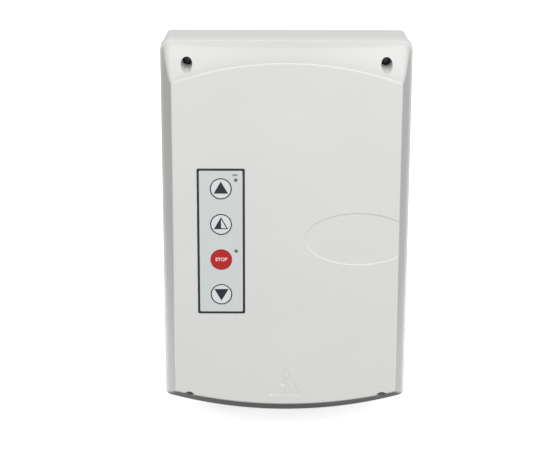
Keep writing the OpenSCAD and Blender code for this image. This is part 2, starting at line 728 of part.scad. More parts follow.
rear_housing();
screw_inserts();
earth_bar();
main_board();
board_screws();
transformer_core();
transformer_winding();
transformer_clamp();
fuse_holder();
mains_terminal();
motor_terminal();
control_terminals();
terminal_screws();
relays();
power_capacitors();
surge_discs();
filter_choke();
heat_sink();
power_transistors();
microcontroller();
logic_chips();
ribbon_header();
status_display();
selector_base();
button_bases();
sounder();
gland_bodies();
gland_lock_nuts();
gland_cap_nuts();
gland_seals();
gland_washers();
blanking_plug();
front_cover();
cover_seal();
screw_retainers();
keypad_circuit();
key_domes();
keypad_spacer();
keypad_overlay();
lamp_windows();
keypad_tail();
tail_plug();
open_key();
partial_open_key();
stop_key();
close_key();
cover_screw_upper_left();
cover_screw_upper_right();
cover_screw_lower_left();
cover_screw_lower_right();
fuse_cap();
fuse_link();
selector_knob();
menu_button_up();
menu_button_down();
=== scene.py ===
"""The finished model of a motorised coop door's wall-mounted control unit."""
import json
import math

import bmesh
import bpy
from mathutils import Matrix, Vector


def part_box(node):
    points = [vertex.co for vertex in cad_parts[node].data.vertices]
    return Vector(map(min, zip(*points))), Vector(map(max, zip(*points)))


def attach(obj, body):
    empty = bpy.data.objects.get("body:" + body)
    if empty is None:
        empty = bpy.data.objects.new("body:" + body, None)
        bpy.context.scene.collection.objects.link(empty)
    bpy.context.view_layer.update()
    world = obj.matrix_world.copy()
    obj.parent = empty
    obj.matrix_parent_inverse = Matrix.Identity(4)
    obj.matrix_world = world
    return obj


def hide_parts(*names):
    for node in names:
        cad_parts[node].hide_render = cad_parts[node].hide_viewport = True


bl_info = {
    "name": "Coop Door Control Unit",
    "version": (1, 0, 0),
    "blender": (4, 5, 0),
    "location": "3D View > Sidebar > Door Control",
    "description": "Builds the finished pieces of a wall-mounted door control unit",
    "category": "Object",
}

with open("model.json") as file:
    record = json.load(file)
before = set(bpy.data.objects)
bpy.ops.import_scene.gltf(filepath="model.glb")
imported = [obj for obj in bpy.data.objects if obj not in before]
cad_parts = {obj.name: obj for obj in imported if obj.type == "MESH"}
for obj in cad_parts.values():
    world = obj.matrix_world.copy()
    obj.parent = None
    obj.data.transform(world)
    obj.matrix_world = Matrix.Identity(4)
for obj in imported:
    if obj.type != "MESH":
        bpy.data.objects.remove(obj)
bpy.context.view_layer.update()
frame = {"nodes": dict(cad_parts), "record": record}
NODES = frame["nodes"]
MM = 0.001
SMOOTH_ANGLE = math.radians(32)

# Places that the frame gives.
COVER_LOW, COVER_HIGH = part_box("front_cover")
HOUSING_LOW, HOUSING_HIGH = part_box("rear_housing")
KEYPAD_LOW, KEYPAD_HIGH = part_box("keypad_overlay")
JOINT = -COVER_HIGH.y
FACE = -COVER_LOW.y
RIM_HALF = COVER_HIGH.x
TOP = COVER_HIGH.z
LOW = COVER_LOW.z
KEYS = ("open_key", "partial_open_key", "stop_key", "close_key")
SCREWS = ("upper_left", "upper_right", "lower_left", "lower_right")


def centre(node):
    """The middle of a CAD node's box."""
    low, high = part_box(node)
    return (low + high) / 2


def length(name, default, description):
    """A size that a user may change, in metres."""
    return bpy.props.FloatProperty(name=name, description=description, default=default,
                                   unit="LENGTH", subtype="DISTANCE", precision=5)


def tint(name, hex_value, description):
    """An sRGB colour that a user may change, kept as its hex value."""
    return bpy.props.StringProperty(name=name, description=description, default=hex_value)


class CoverSizes(bpy.types.PropertyGroup):
    """Sizes of the moulded front cover."""
    rim_depth: length("Rim depth", 12 * MM, "Depth of the rim around the joint")
    rim_step: length("Rim step", 2 * MM, "Step from the rim to the side wall")
    top_step: length("Top step", 0.9 * MM, "Step from the rim to the flat behind the ridge")
    side_lean: length("Side lean", 9.4 * MM, "How far the side wall leans in towards the face")
    bottom_rise: length("Bottom rise", 32.6 * MM, "Rise of the underside from joint to face")
    bottom_radius: length("Bottom radius", 340 * MM, "Radius of the arc along the bottom edge")
    crest_radius: length("Crest radius", 240 * MM, "Radius of the arched crest above the face")
    crest_drop: length("Crest drop", 6.8 * MM, "Drop from the rim's top to the crest")
    ridge_drop: length("Ridge drop", 2.5 * MM, "Drop from the rim's top to the ridge")
    ridge_offset: length("Ridge offset", 32 * MM, "Distance of the ridge in front of the joint")
    ridge_radius: length("Ridge radius", 318 * MM, "Radius of the ridge seen from above")
    wall: length("Wall", 3 * MM, "Thickness of the moulded wall")
    edge: length("Face edge", 1.1 * MM, "Rounding between the walls and the front face")
    oval_x: length("Oval centre X", 53 * MM, "Sideways place of the recessed oval")
    oval_z: length("Oval centre Z", 12.6 * MM, "Height of the recessed oval")
    oval_a: length("Oval half width", 39.5 * MM, "Half the width of the recessed oval")
    oval_b: length("Oval half height", 19.9 * MM, "Half the height of the recessed oval")
    oval_depth: length("Oval depth", 0.42 * MM, "Depth of the recessed oval")
    symbol_z: length("Symbol base", -110.5 * MM, "Height of the hazard symbol's base")
    symbol_w: length("Symbol width", 24.6 * MM, "Width of the engraved hazard symbol")
    symbol_h: length("Symbol height", 22.4 * MM, "Height of the engraved hazard symbol")
    symbol_line: length("Symbol line", 1.5 * MM, "Width of the engraved line")
    symbol_depth: length("Symbol depth", 0.6 * MM, "Depth of the engraved symbol")
    boss_radius: length("Boss radius", 6.5 * MM, "Radius of the bosses around the screws")
    pocket_radius: length("Pocket radius", 4.3 * MM, "Radius of the screw pockets")
    bore_radius: length("Bore radius", 2.3 * MM, "Radius of the bores for the screw shanks")


class HousingSizes(bpy.types.PropertyGroup):
    """Sizes of the moulded rear housing."""
    wall: length("Wall", 3.2 * MM, "Thickness of the moulded wall")
    draft: length("Side draft", 0.6 * MM, "How far each side narrows towards the wall")
    top_draft: length("Top draft", 1 * MM, "How far the top drops towards the wall")
    edge_radius: length("Edge radius", 4 * MM, "Radius of the upright edges")
    back_edge: length("Back edge", 1.4 * MM, "Rounding around the back")
    pad: length("Pad height", 1 * MM, "Height of the pads that stand on the wall")
    pad_radius: length("Pad radius", 8 * MM, "Radius of the pads")
    holes_w: length("Hole spacing", 120 * MM, "Distance between the left and right wall holes")
    holes_h: length("Hole height", 200 * MM, "Distance between the upper and lower wall holes")
    hole_radius: length("Hole radius", 2.75 * MM, "Radius of the wall holes")
    post_radius: length("Post radius", 5.5 * MM, "Radius of the cover screws' posts")
    insert_radius: length("Insert radius", 3.2 * MM, "Radius of the holes for the inserts")
    insert_depth: length("Insert depth", 10 * MM, "Depth of the holes for the inserts")
    thread_radius: length("Thread radius", 2.3 * MM, "Radius of the holes behind the inserts")
    pilot_radius: length("Pilot radius", 1.25 * MM, "Radius of the small screws' holes")
    pillar_radius: length("Pillar radius", 4 * MM, "Radius of the pillars under the board")
    rib: length("Floor rib", 1.6 * MM, "Height of the stiffening ribs on the floor")
    gland_pitch: length("Gland pitch", 32 * MM, "Distance from cable hole to cable hole")
    gland_depth: length("Gland depth", 24 * MM, "Distance of the cable holes from the wall")
    gland_radius: length("Gland hole", 10.3 * MM, "Radius of the cable holes")


class KeypadSizes(bpy.types.PropertyGroup):
    """Sizes of what is printed on the keypad."""
    border: length("Border", 1.65 * MM, "Width of the printed border")
    ring_radius: length("Ring radius", 7.55 * MM, "Radius of a key's printed ring")
    ring_line: length("Ring line", 0.85 * MM, "Width of a key's printed ring")
    arrow_w: length("Arrow width", 10.5 * MM, "Width of a key's printed arrow")
    arrow_h: length("Arrow height", 9.1 * MM, "Height of a key's printed arrow")
    stop_radius: length("Stop radius", 7.9 * MM, "Radius of the red stop disc")
    letter_h: length("Letter height", 2.5 * MM, "Height of the stop key's letters")
    ink: length("Ink", 0.03 * MM, "Height of the printed ink")


class Finish(bpy.types.PropertyGroup):
    """Colours, as sRGB hex values."""
    cover: tint("Cover", "#E3E3E1", "Light grey ABS of the cover")
    housing: tint("Housing", "#DEDEDC", "Light grey ABS of the rear housing")
    film: tint("Keypad film", "#D8DCDB", "Bluish grey of the keypad's film")
    key: tint("Key face", "#E4E6E7", "Paler grey of the key faces")
    ink: tint("Ink", "#2A2B33", "Dark ink of the border, rings and arrows")
    stop: tint("Stop", "#C01F20", "Red of the stop disc")
    board: tint("Board", "#1E5A34", "Green solder mask of the circuit board")


# ------------------------------------------------------------------ materials

def linear(hex_value):
    """An sRGB hex value as a linear RGBA colour."""
    channels = [int(hex_value[i:i + 2], 16) / 255 for i in (1, 3, 5)]
    return [c / 12.92 if c <= 0.04045 else ((c + 0.055) / 1.055) ** 2.4 for c in channels] + [1.0]


def add(tree, kind, inputs=None, **settings):
    """Adds a node; an input may be a value or another node's output."""
    node = tree.nodes.new(kind)
    for key, value in settings.items():
        setattr(node, key, value)
    for key, value in (inputs or {}).items():
        if isinstance(value, bpy.types.NodeSocket):
            tree.links.new(value, node.inputs[key])
        else:
            node.inputs[key].default_value = value
    return node


def shader(name, **values):
    """A new material with only its shader and output; values go on the shader's sockets."""
    material = bpy.data.materials.new(name)
    material.use_nodes = True
    tree = material.node_tree
    tree.nodes.clear()
    surface = add(tree, "ShaderNodeBsdfPrincipled")
    for key, value in values.items():
        surface.inputs[key.replace("_", " ")].default_value = value
    add(tree, "ShaderNodeOutputMaterial", {"Surface": surface.outputs[0]})
    place = add(tree, "ShaderNodeTexCoord").outputs["Object"]
    return material, tree, surface, place


def mottle(tree, place, hex_value, size, amount):
    """The colour, a little lighter and darker in patches of the given size."""
    patches = add(tree, "ShaderNodeTexNoise", {"Vector": place, "Scale": 1 / size, "Detail": 3.0})
    colour = linear(hex_value)
    ramp = add(tree, "ShaderNodeValToRGB", {"Fac": patches.outputs["Fac"]})
    ramp.color_ramp.elements[0].position = 0.3
    ramp.color_ramp.elements[0].color = [c * (1 - amount) for c in colour[:3]] + [1]
    ramp.color_ramp.elements[1].position = 0.7
    ramp.color_ramp.elements[1].color = [min(1, c * (1 + amount)) for c in colour[:3]] + [1]
    return ramp.outputs["Color"]


def moulded(name, hex_value, roughness, grain, height, variation=0.02, patch=30 * MM, **values):
    """Injection-moulded plastic: a fine spark-eroded grain and a slow drift in colour and gloss."""
    material, tree, surface, place = shader(name, **values)
    tree.links.new(mottle(tree, place, hex_value, patch, variation), surface.inputs["Base Color"])
    pits = add(tree, "ShaderNodeTexNoise", {"Vector": place, "Scale": 1 / grain, "Detail": 2.0})
    gloss = add(tree, "ShaderNodeMapRange", {"Value": pits.outputs["Fac"],
                                             "To Min": roughness - 0.05,
                                             "To Max": roughness + 0.05})
    bump = add(tree, "ShaderNodeBump", {"Height": pits.outputs["Fac"], "Distance": height,
                                        "Strength": 0.6})
    tree.links.new(gloss.outputs["Result"], surface.inputs["Roughness"])
    tree.links.new(bump.outputs["Normal"], surface.inputs["Normal"])
    return material


def metal(name, hex_value, roughness, grain, height, stretch=(1, 1, 1)):
    """Metal with a worked surface; stretch draws the grain out along a brushed direction."""
    material, tree, surface, place = shader(name, Metallic=1.0)
    drawn = add(tree, "ShaderNodeMapping", {"Vector": place, "Scale": stretch})
    lines = add(tree, "ShaderNodeTexNoise", {"Vector": drawn.outputs[0], "Scale": 1 / grain,
                                             "Detail": 3.0})
    tone = mottle(tree, place, hex_value, 6 * MM, 0.08)
    tree.links.new(tone, surface.inputs["Base Color"])
    gloss = add(tree, "ShaderNodeMapRange", {"Value": lines.outputs["Fac"],
                                             "To Min": roughness - 0.08, "To Max": roughness + 0.1})
    bump = add(tree, "ShaderNodeBump", {"Height": lines.outputs["Fac"], "Distance": height,
                                        "Strength": 0.5})
    tree.links.new(gloss.outputs["Result"], surface.inputs["Roughness"])
    tree.links.new(bump.outputs["Normal"], surface.inputs["Normal"])
    return material


def circuit_board(hex_value):
    """Solder mask over copper: tracks stand out a little paler and higher than the laminate."""
    material, tree, surface, place = shader("solder_mask_laminate", Roughness=0.35,
                                            Coat_Weight=0.3, Coat_Roughness=0.2)
    mask = linear(hex_value)
    flat = add(tree, "ShaderNodeMapping", {"Vector": place, "Rotation": (math.pi / 2, 0, 0)})
    tracks = add(tree, "ShaderNodeTexBrick",
                 {"Vector": flat.outputs[0], "Scale": 1.0, "Brick Width": 23 * MM,
                  "Row Height": 2.4 * MM, "Mortar Size": 0.35 * MM, "Color1": mask,
                  "Color2": mask, "Mortar": [c * 1.6 for c in mask[:3]] + [1]})
    bump = add(tree, "ShaderNodeBump", {"Height": tracks.outputs["Fac"], "Distance": 0.03 * MM,
                                        "Strength": 0.5})
    tree.links.new(tracks.outputs["Color"], surface.inputs["Base Color"])
    tree.links.new(bump.outputs["Normal"], surface.inputs["Normal"])
    return material


MATERIALS = {}


def make_materials():
    """Every finish of the unit, by the name of its record slot or its own use."""
    look = bpy.context.scene.door_finish
    MATERIALS.update({
        "cover_abs": moulded("abs_cover_moulded", look.cover, 0.42, 0.7 * MM, 0.012 * MM, 0.012,
                             60 * MM, Coat_Weight=0.06, Coat_Roughness=0.3),
        "housing_abs": moulded("abs_housing_moulded", look.housing, 0.5, 0.7 * MM, 0.02 * MM,
                               0.015),
        "keypad_film": moulded("polyester_film_printed", look.film, 0.36, 0.5 * MM, 0.008 * MM,
                               0.01),
        "key_face": moulded("polyester_film_embossed", look.key, 0.36, 0.5 * MM, 0.008 * MM,
                            0.01),
        "stop_edge": moulded("screen_print_dark_red", "#8A1A1E", 0.4, 0.5 * MM, 0.006 * MM, 0.03),
        "ink": moulded("screen_print_ink", look.ink, 0.45, 0.4 * MM, 0.006 * MM, 0.04),
        "stop_film": moulded("screen_print_red", look.stop, 0.4, 0.5 * MM, 0.006 * MM, 0.03),
        "white_ink": moulded("screen_print_white", "#EFEFEC", 0.45, 0.4 * MM, 0.006 * MM, 0.02),
        "clear_film": moulded("lamp_window_smoked", "#6E7874", 0.2, 0.5 * MM, 0.004 * MM, 0.05),
        "seal_rubber": moulded("epdm_rubber_moulded", "#26272A", 0.72, 0.5 * MM, 0.04 * MM, 0.1),
        "spacer_film": moulded("polyester_spacer_matt", "#E4E2DA", 0.55, 0.5 * MM, 0.01 * MM),
        "flex_circuit": moulded("polyimide_film_rolled", "#C9862B", 0.3, 1 * MM, 0.01 * MM, 0.08),
        "circuit_board": circuit_board(look.board),
        "black_plastic": moulded("polyamide_black_moulded", "#1D1D1F", 0.45, 0.4 * MM, 0.02 * MM,
                                 0.1),
        "green_terminal": moulded("polyamide_green_moulded", "#2F8A4C", 0.42, 0.4 * MM, 0.02 * MM),
        "relay_blue": moulded("pbt_blue_moulded", "#2353A3", 0.35, 0.4 * MM, 0.015 * MM),
        "capacitor_sleeve": moulded("pvc_sleeve_shrunk", "#20243F", 0.25, 2 * MM, 0.03 * MM, 0.08),
        "disc_epoxy": moulded("epoxy_dipped", "#2A5DA8", 0.22, 3 * MM, 0.12 * MM, 0.06),
        "white_plastic": moulded("pom_white_moulded", "#E5E4DE", 0.4, 0.4 * MM, 0.01 * MM),
        "gland_nylon": moulded("nylon_grey_moulded", "#C9CAC8", 0.5, 0.4 * MM, 0.03 * MM, 0.03),
        "display_red": moulded("acrylic_tinted_cast", "#3A0D10", 0.12, 2 * MM, 0.002 * MM, 0.05),
        "dome_steel": metal("stainless_stamped", "#C9CACC", 0.25, 0.4 * MM, 0.004 * MM),
        "copper_wire": metal("copper_enamelled_drawn", "#B4612C", 0.3, 0.4 * MM, 0.02 * MM),
        "core_steel": metal("silicon_steel_laminated", "#6D6E72", 0.45, 0.5 * MM, 0.08 * MM,
                            (0.05, 1, 0.05)),
        "zinc_steel": metal("steel_zinc_plated", "#C4C6C8", 0.3, 0.5 * MM, 0.01 * MM),
        "screw_steel": metal("steel_black_zinc", "#3B3D40", 0.38, 0.4 * MM, 0.02 * MM),
        "brass_part": metal("brass_turned", "#C9A24E", 0.28, 0.3 * MM, 0.01 * MM, (1, 0.1, 1)),
        "heat_sink_aluminium": metal("aluminium_anodised_extruded", "#B9BCC0", 0.38, 0.4 * MM,
                                     0.02 * MM, (1, 0.05, 1)),
    })
    glass = shader("borosilicate_glass_drawn", Base_Color=linear("#E8F0EE"), Roughness=0.05,
                   IOR=1.47, Transmission_Weight=0.9)[0]
    MATERIALS["fuse_glass"] = glass


# ------------------------------------------------------------------ mesh helpers

def mesh_object(name, points, faces):
    """A closed mesh with its faces turned outwards."""
    mesh = bpy.data.meshes.new(name)
    mesh.from_pydata([tuple(p) for p in points], [], faces)
    work = bmesh.new()
    work.from_mesh(mesh)
    bmesh.ops.remove_doubles(work, verts=work.verts, dist=1e-7)
    bmesh.ops.recalc_face_normals(work, faces=work.faces)
    work.to_mesh(mesh)
    work.free()
    obj = bpy.data.objects.new(name, mesh)
    bpy.context.scene.collection.objects.link(obj)
    return obj


def stacked(name, loops):
    """A solid from loops of equal length, stacked from one end to the other."""
    n = len(loops[0])
    last = len(loops) - 1
    faces = [list(range(n)), [last * n + i for i in range(n)]]
    for k in range(last):
        for i in range(n):
            j = (i + 1) % n
            faces.append([k * n + i, k * n + j, (k + 1) * n + j, (k + 1) * n + i])
    return mesh_object(name, [p for loop in loops for p in loop], faces)


def ringed(name, loops):
    """A ring-shaped solid: each loop joins the next, and the last joins the first."""
    n = len(loops[0])
    m = len(loops)
    faces = []
    for k in range(m):
        for i in range(n):
            a, b, j = k * n, (k + 1) % m * n, (i + 1) % n
            faces.append([a + i, a + j, b + j, b + i])
    return mesh_object(name, [p for loop in loops for p in loop], faces)


def at_depth(outline, depth):
    """Points of an outline in X and Z, placed at a depth from the wall."""
    return [(x, -depth, z) for x, z in outline]


def prism(name, outline, depth0, depth1):
    """An outline in X and Z given thickness between two depths."""
    return stacked(name, [at_depth(outline, depth0), at_depth(outline, depth1)])


def band(name, outer, inner, depth0, depth1):
    """The flat band between two outlines, given thickness between two depths."""
    return ringed(name, [at_depth(outer, depth0), at_depth(outer, depth1),
                         at_depth(inner, depth1), at_depth(inner, depth0)])


def circle(x, z, radius, steps=64):
    """A round outline."""
    return [(x + radius * math.cos(2 * math.pi * i / steps),
             z + radius * math.sin(2 * math.pi * i / steps)) for i in range(steps)]


def rounded_box(x, z, width, height, radius, steps=6):
    """A rectangular outline with round corners."""
    outline = []
    for quarter, (sx, sz) in enumerate(((1, 1), (-1, 1), (-1, -1), (1, -1))):
        for i in range(steps + 1):
            angle = math.pi / 2 * (quarter + i / steps)
            outline.append((x + sx * (width / 2 - radius) + radius * math.cos(angle),
                            z + sz * (height / 2 - radius) + radius * math.sin(angle)))
    return outline


def turned(name, profile, x, z, steps=48):
    """A turned solid along Y from (radius, depth) points; flat ends where the radius is 0."""
    loops = [at_depth(circle(x, z, r, steps), d) for r, d in profile if r > 0]
    return (stacked if profile[0][0] == 0 else ringed)(name, loops)


def scaled(outline, factor, about):
    """An outline scaled about a point."""
    ax, az = about
    return [(ax + (x - ax) * factor, az + (z - az) * factor) for x, z in outline]


def combine(base, operation, others):
    """Adds or cuts other closed meshes, one after another; the others are removed."""
    for other in others:
        step = base.modifiers.new("combine", "BOOLEAN")
        step.operation = operation
        step.solver = "MANIFOLD"
        step.object = other
        bake(base)
        bpy.data.objects.remove(other)
    return base


def bake(obj):
    """Applies an object's modifiers to its mesh."""
    bpy.context.view_layer.update()
    evaluated = obj.evaluated_get(bpy.context.evaluated_depsgraph_get())
    mesh = bpy.data.meshes.new_from_object(evaluated)
    obj.modifiers.clear()
    old = obj.data
    obj.data = mesh
    bpy.data.meshes.remove(old)
    return obj


def finish_shading(obj):
    """Smooth shading with sharp corners kept, flat faces shaded flat."""
    obj.data.polygons.foreach_set("use_smooth", [True] * len(obj.data.polygons))
    obj.data.set_sharp_from_angle(angle=SMOOTH_ANGLE)
    weight = obj.modifiers.new("weight", "WEIGHTED_NORMAL")
    weight.keep_sharp = True
    return bake(obj)


def joined(name, pieces):
    """Joins separate meshes into one object."""
    work = bmesh.new()
    for piece in pieces:
        work.from_mesh(piece.data)
        bpy.data.objects.remove(piece)
    mesh = bpy.data.meshes.new(name)
    work.to_mesh(mesh)
    work.free()
    obj = bpy.data.objects.new(name, mesh)
    bpy.context.scene.collection.objects.link(obj)
    return obj


def repeat_tree():
    """A tree that repeats an object along a line, turned a little more each time."""
    tree = bpy.data.node_groups.new("repeat", "GeometryNodeTree")
    for name, kind in (("Geometry", "Geometry"), ("Piece", "Object"), ("Count", "Int"),
                       ("Step", "Vector"), ("Turn", "Vector"), ("Material", "Material")):
        tree.interface.new_socket(name, in_out="INPUT", socket_type="NodeSocket" + kind)
    tree.interface.new_socket("Geometry", in_out="OUTPUT", socket_type="NodeSocketGeometry")
    given = add(tree, "NodeGroupInput").outputs
    line = add(tree, "GeometryNodeMeshLine", {"Count": given["Count"], "Offset": given["Step"]},
               mode="OFFSET")
    piece = add(tree, "GeometryNodeObjectInfo", {"Object": given["Piece"]})
    index = add(tree, "GeometryNodeInputIndex").outputs[0]
    turn = add(tree, "ShaderNodeVectorMath", {0: given["Turn"], "Scale": index}, operation="SCALE")
    copies = add(tree, "GeometryNodeInstanceOnPoints",
                 {"Points": line.outputs[0], "Instance": piece.outputs["Geometry"],
                  "Rotation": turn.outputs[0]})
    solid = add(tree, "GeometryNodeRealizeInstances", {"Geometry": copies.outputs[0]})
    finished = add(tree, "GeometryNodeSetMaterial", {"Geometry": solid.outputs[0],
                                                     "Material": given["Material"]})
    add(tree, "NodeGroupOutput", {"Geometry": finished.outputs[0]})
    return tree


def repeated(piece, count, step, turn=(0, 0, 0), material="housing_abs"):
    """Copies of a piece along a line, as one plain mesh; the piece is removed."""
    tree = bpy.data.node_groups.get("repeat") or repeat_tree()
    row = bpy.data.objects.new("row", bpy.data.meshes.new("row"))
    bpy.context.scene.collection.objects.link(row)
    step_by = row.modifiers.new("repeat", "NODES")
    step_by.node_group = tree
    values = {"Piece": piece, "Count": count, "Step": step, "Turn": turn,
              "Material": MATERIALS[material]}
    for item in tree.interface.items_tree:
        if item.in_out == "INPUT" and item.name in values:
            step_by[item.identifier] = values[item.name]
    bake(row)
    bpy.data.objects.remove(piece)
    return row


def moved(obj, x=0.0, depth=0.0, z=0.0):
    """Moves a mesh's own points."""
    for vertex in obj.data.vertices:
        vertex.co += Vector((x, -depth, z))
    return obj


def place(obj, name, body, slot, replaces=(), material=None):
    """Names a finished piece, gives it its material and lets it ride on its body."""
    obj.name = name
    obj.data.name = name
    obj.data.materials.clear()
    obj.data.materials.append(MATERIALS[material or slot])
    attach(obj, body)
    if replaces:
        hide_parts(*replaces)
    return obj


# ------------------------------------------------------------------ cover shape

CORNER_STEPS = 8      # points around an upright edge
TOP_STEPS = 64        # points across the top
LOW_STEPS = 48        # points across the bottom arc
BEND_STEPS = 5        # points in each rounded bend of the skin's profile
OVAL_STEPS = 160      # points around the recessed oval
# Stations between the ridge and the face, as shares of the way.
COVE = (0.1, 0.22, 0.36, 0.52, 0.7, 0.86)


def arc_drop(x, radius):
    """How far an arc of a radius has fallen at a place across."""
    return radius - math.sqrt(radius * radius - x * x)


def mix(a, b, t):
    """The value a share t of the way from a to b."""
    return a + (b - a) * t


def scoop(t):
    """Share of the drop from the ridge, at 0, to the crest, at 1; the scoop is hollow."""
    return 1 - (1 - t) ** 1.7


class CoverSkin:
    """The outer skin of the front cover, as loops that run from the joint to the face."""

    def __init__(self, sizes):
        self.s = sizes
        self.main = JOINT + sizes.rim_depth
        self.corner_ridge = self.ridge(RIM_HALF)

    def rise(self, depth):
        """How far the sloping underside has risen at a depth."""
        return self.s.bottom_rise * (depth - JOINT) / (FACE - JOINT)

    def ridge(self, x):
        """Depth of the ridge, which bows outwards in the middle."""
        return JOINT + self.s.ridge_offset - arc_drop(x, self.s.ridge_radius)

    def corners(self, side, x):
        """(depth, inset, rounding) corners of the profile on the top, a side or the bottom."""
        s = self.s
        main = self.main
        start = self.ridge(x) if side == "top" else self.corner_ridge

        def inset(t):
            """Inset at a share of the way from the ridge to the face."""
            depth = mix(start, FACE, t)
            if side == "low":
                return self.rise(depth)
            if side == "side":
                return s.rim_step + s.side_lean * (depth - main) / (FACE - main)
            crest = s.crest_drop + arc_drop(x, s.crest_radius)
            return mix(s.ridge_drop, crest, scoop(t))

        path = [(JOINT, 2 * MM, 0), (JOINT, 0, 0.9 * MM if side == "top" else 0.7 * MM)]
        if side == "low":
            path += [(d, self.rise(d), 1 * MM) for d in (main, main + 1.4 * MM, start)]
        elif side == "side":
            path += [(main, 0.35 * MM, 1.4 * MM), (main + 1.4 * MM, s.rim_step, 1.6 * MM),
                     (start, inset(0), 3 * MM)]
        else:
            path += [(main, 0.45 * MM, 1.2 * MM), (main + 0.8 * MM, s.top_step, 1.4 * MM),
                     (start, s.ridge_drop, 3.4 * MM)]
        path += [(mix(start, FACE, t), inset(t), 2.5 * MM) for t in COVE]
        path += [(FACE, inset(1), s.edge), (FACE, inset(1) + 2.5 * MM, 0)]
        return path

    def count(self):
        """Number of loops from the joint to the face."""
        return 2 + (len(COVE) + 5) * (BEND_STEPS + 1)

    def sample(self, side, v, x=0.0):
        """(depth, inset) of profile point v."""
        path = self.corners(side, x)
        if v == 0:
            return path[0][:2]
        if v == self.count() - 1:
            return path[-1][:2]
        k, step = divmod(v - 1, BEND_STEPS + 1)
        before, here, after = path[k:k + 3]
        t = step / BEND_STEPS
        ends = []
        for other in (before, after):
            away = math.dist(other[:2], here[:2])
            reach = min(here[2], away * 0.48) / away
            ends.append([mix(here[i], other[i], reach) for i in (0, 1)])
        return [(1 - t) ** 2 * ends[0][i] + 2 * t * (1 - t) * here[i] + t * t * ends[1][i]
                for i in (0, 1)]

    def corner_radius(self, depth):
        """The upright edges tighten from the rim to the face."""
        share = min(1, max(0, (depth - self.main) / (FACE - self.main)))
        return mix(7.5 * MM, 2 * MM, share ** 0.6)

    def loop(self, v):
        """Points of the skin around one loop, from the bottom's left end anticlockwise."""
        side_depth, side_inset = self.sample("side", v)
        half = RIM_HALF - side_inset
        upper = self.corner_radius(side_depth)
        lower = upper * 0.5

        def edge_height(side, x):
            """(depth, height) of the top or bottom edge at a place across."""
            depth, inset = self.sample(side, v, x)
            return (depth, TOP - inset) if side == "top" else \
                (depth, LOW + inset + arc_drop(x, self.s.bottom_radius))

        def edge_end(side, r):
            """Where the round corner meets the top or bottom edge, and its centre."""
            x = half - r
            for _ in range(4):
                d = 0.5 * MM
                slope = (edge_height(side, x + d)[1] - edge_height(side, x - d)[1]) / (2 * d)
                lean = math.atan(slope)
                sign = 1 if side == "top" else -1
                x = half - r + sign * r * math.sin(-lean)
            depth, z = edge_height(side, x)
            return x, depth, z - sign * r * math.cos(lean), sign * math.pi / 2 + lean

        top_x, top_depth, top_z, top_angle = edge_end("top", upper)
        low_x, low_depth, low_z, low_angle = edge_end("low", lower)
        right = []
        for i in range(CORNER_STEPS):
            share = i / CORNER_STEPS
            angle = mix(low_angle, 0, share)
            right.append((half - lower + lower * math.cos(angle),
                          -mix(low_depth, side_depth, share), low_z + lower * math.sin(angle)))
        for i in range(CORNER_STEPS + 1):
            share = i / CORNER_STEPS
            angle = mix(0, top_angle, share)
            right.append((half - upper + upper * math.cos(angle),
                          -mix(side_depth, top_depth, share), top_z + upper * math.sin(angle)))
        points = []
        for i in range(1, LOW_STEPS):
            x = low_x * (2 * i / LOW_STEPS - 1)
            depth, z = edge_height("low", x)
            points.append((x, -depth, z))
        points += right
        for i in range(1, TOP_STEPS):
            x = top_x * (1 - 2 * i / TOP_STEPS)
            depth, z = edge_height("top", x)
            points.append((x, -depth, z))
        return points + [(-x, y, z) for x, y, z in reversed(right)]

    def solid(self, name):
        """The whole outer shape."""
        return stacked(name, [self.loop(v) for v in range(self.count())])

    def hollow(self, name):
        """The space inside the cover's wall."""
        s = self.s
        front = FACE - s.wall - 0.6 * MM
        loops = []
        for depth, t in ((JOINT - 1 * MM, None), (self.main, None), (None, 0), (None, 0.1),
                         (None, 0.25), (None, 0.45), (None, 0.7), (None, 0.9), (None, 1)):
            here = depth if t is None else mix(self.corner_ridge, front, t)
            lean = max(0, here - self.main) / (FACE - self.main)
            half = RIM_HALF - max(7 * MM, s.rim_step + s.wall + s.side_lean * lean)
            low = LOW + s.wall + 0.6 * MM + max(0, self.rise(here))
            r = 4 * MM
            outline = []
            for i in range(LOW_STEPS + 1):
                x = (half - r) * (2 * i / LOW_STEPS - 1)
                outline.append((x, here, low + arc_drop(x, s.bottom_radius)))
            for i in range(TOP_STEPS + 1):
                x = (half - r) * (1 - 2 * i / TOP_STEPS)
                drop = 0 if t is None else \
                    (s.crest_drop + arc_drop(x, s.crest_radius) - s.ridge_drop) * scoop(t)
                outline.append((x, here, TOP - 7 * MM - drop))
            spread = [(half, here, outline[LOW_STEPS][2] + r),
                      (half, here, outline[LOW_STEPS + 1][2] - r)]
            points = outline[:LOW_STEPS + 1] + spread + outline[LOW_STEPS + 1:]
            points += [(-x, d, z) for x, d, z in reversed(spread)]
            loops.append([(x, -d, z) for x, d, z in points])
        return stacked(name, loops)


def cylinder_between(radius, depth0, depth1, x, z, steps=64):
    """A cylinder along Y between two depths."""
    return prism("cylinder", circle(x, z, radius, steps), depth0, depth1)


def box_between(x0, x1, z0, z1, depth0, depth1):
    """A box between two depths."""
    return prism("box", [(x0, z0), (x1, z0), (x1, z1), (x0, z1)], depth0, depth1)


def seal_ring(name, width, depth0, depth1):
    """The groove or seal that follows the rear housing's front edge."""
    middle = 1.6 * MM
    half = HOUSING_HIGH.x - middle
    top = HOUSING_HIGH.z - middle
    low = HOUSING_LOW.z + middle
    z = (top + low) / 2
    outer = rounded_box(0, z, 2 * half + width, top - low + width, 3.4 * MM + width / 2, 8)
    inner = rounded_box(0, z, 2 * half - width, top - low - width, 3.4 * MM - width / 2, 8)
    return band(name, outer, inner, depth0, depth1)


def triangle(width, height, x, base):
    """An upright triangle outline on its base."""
    return [(x - width / 2, base), (x + width / 2, base), (x, base + height)]


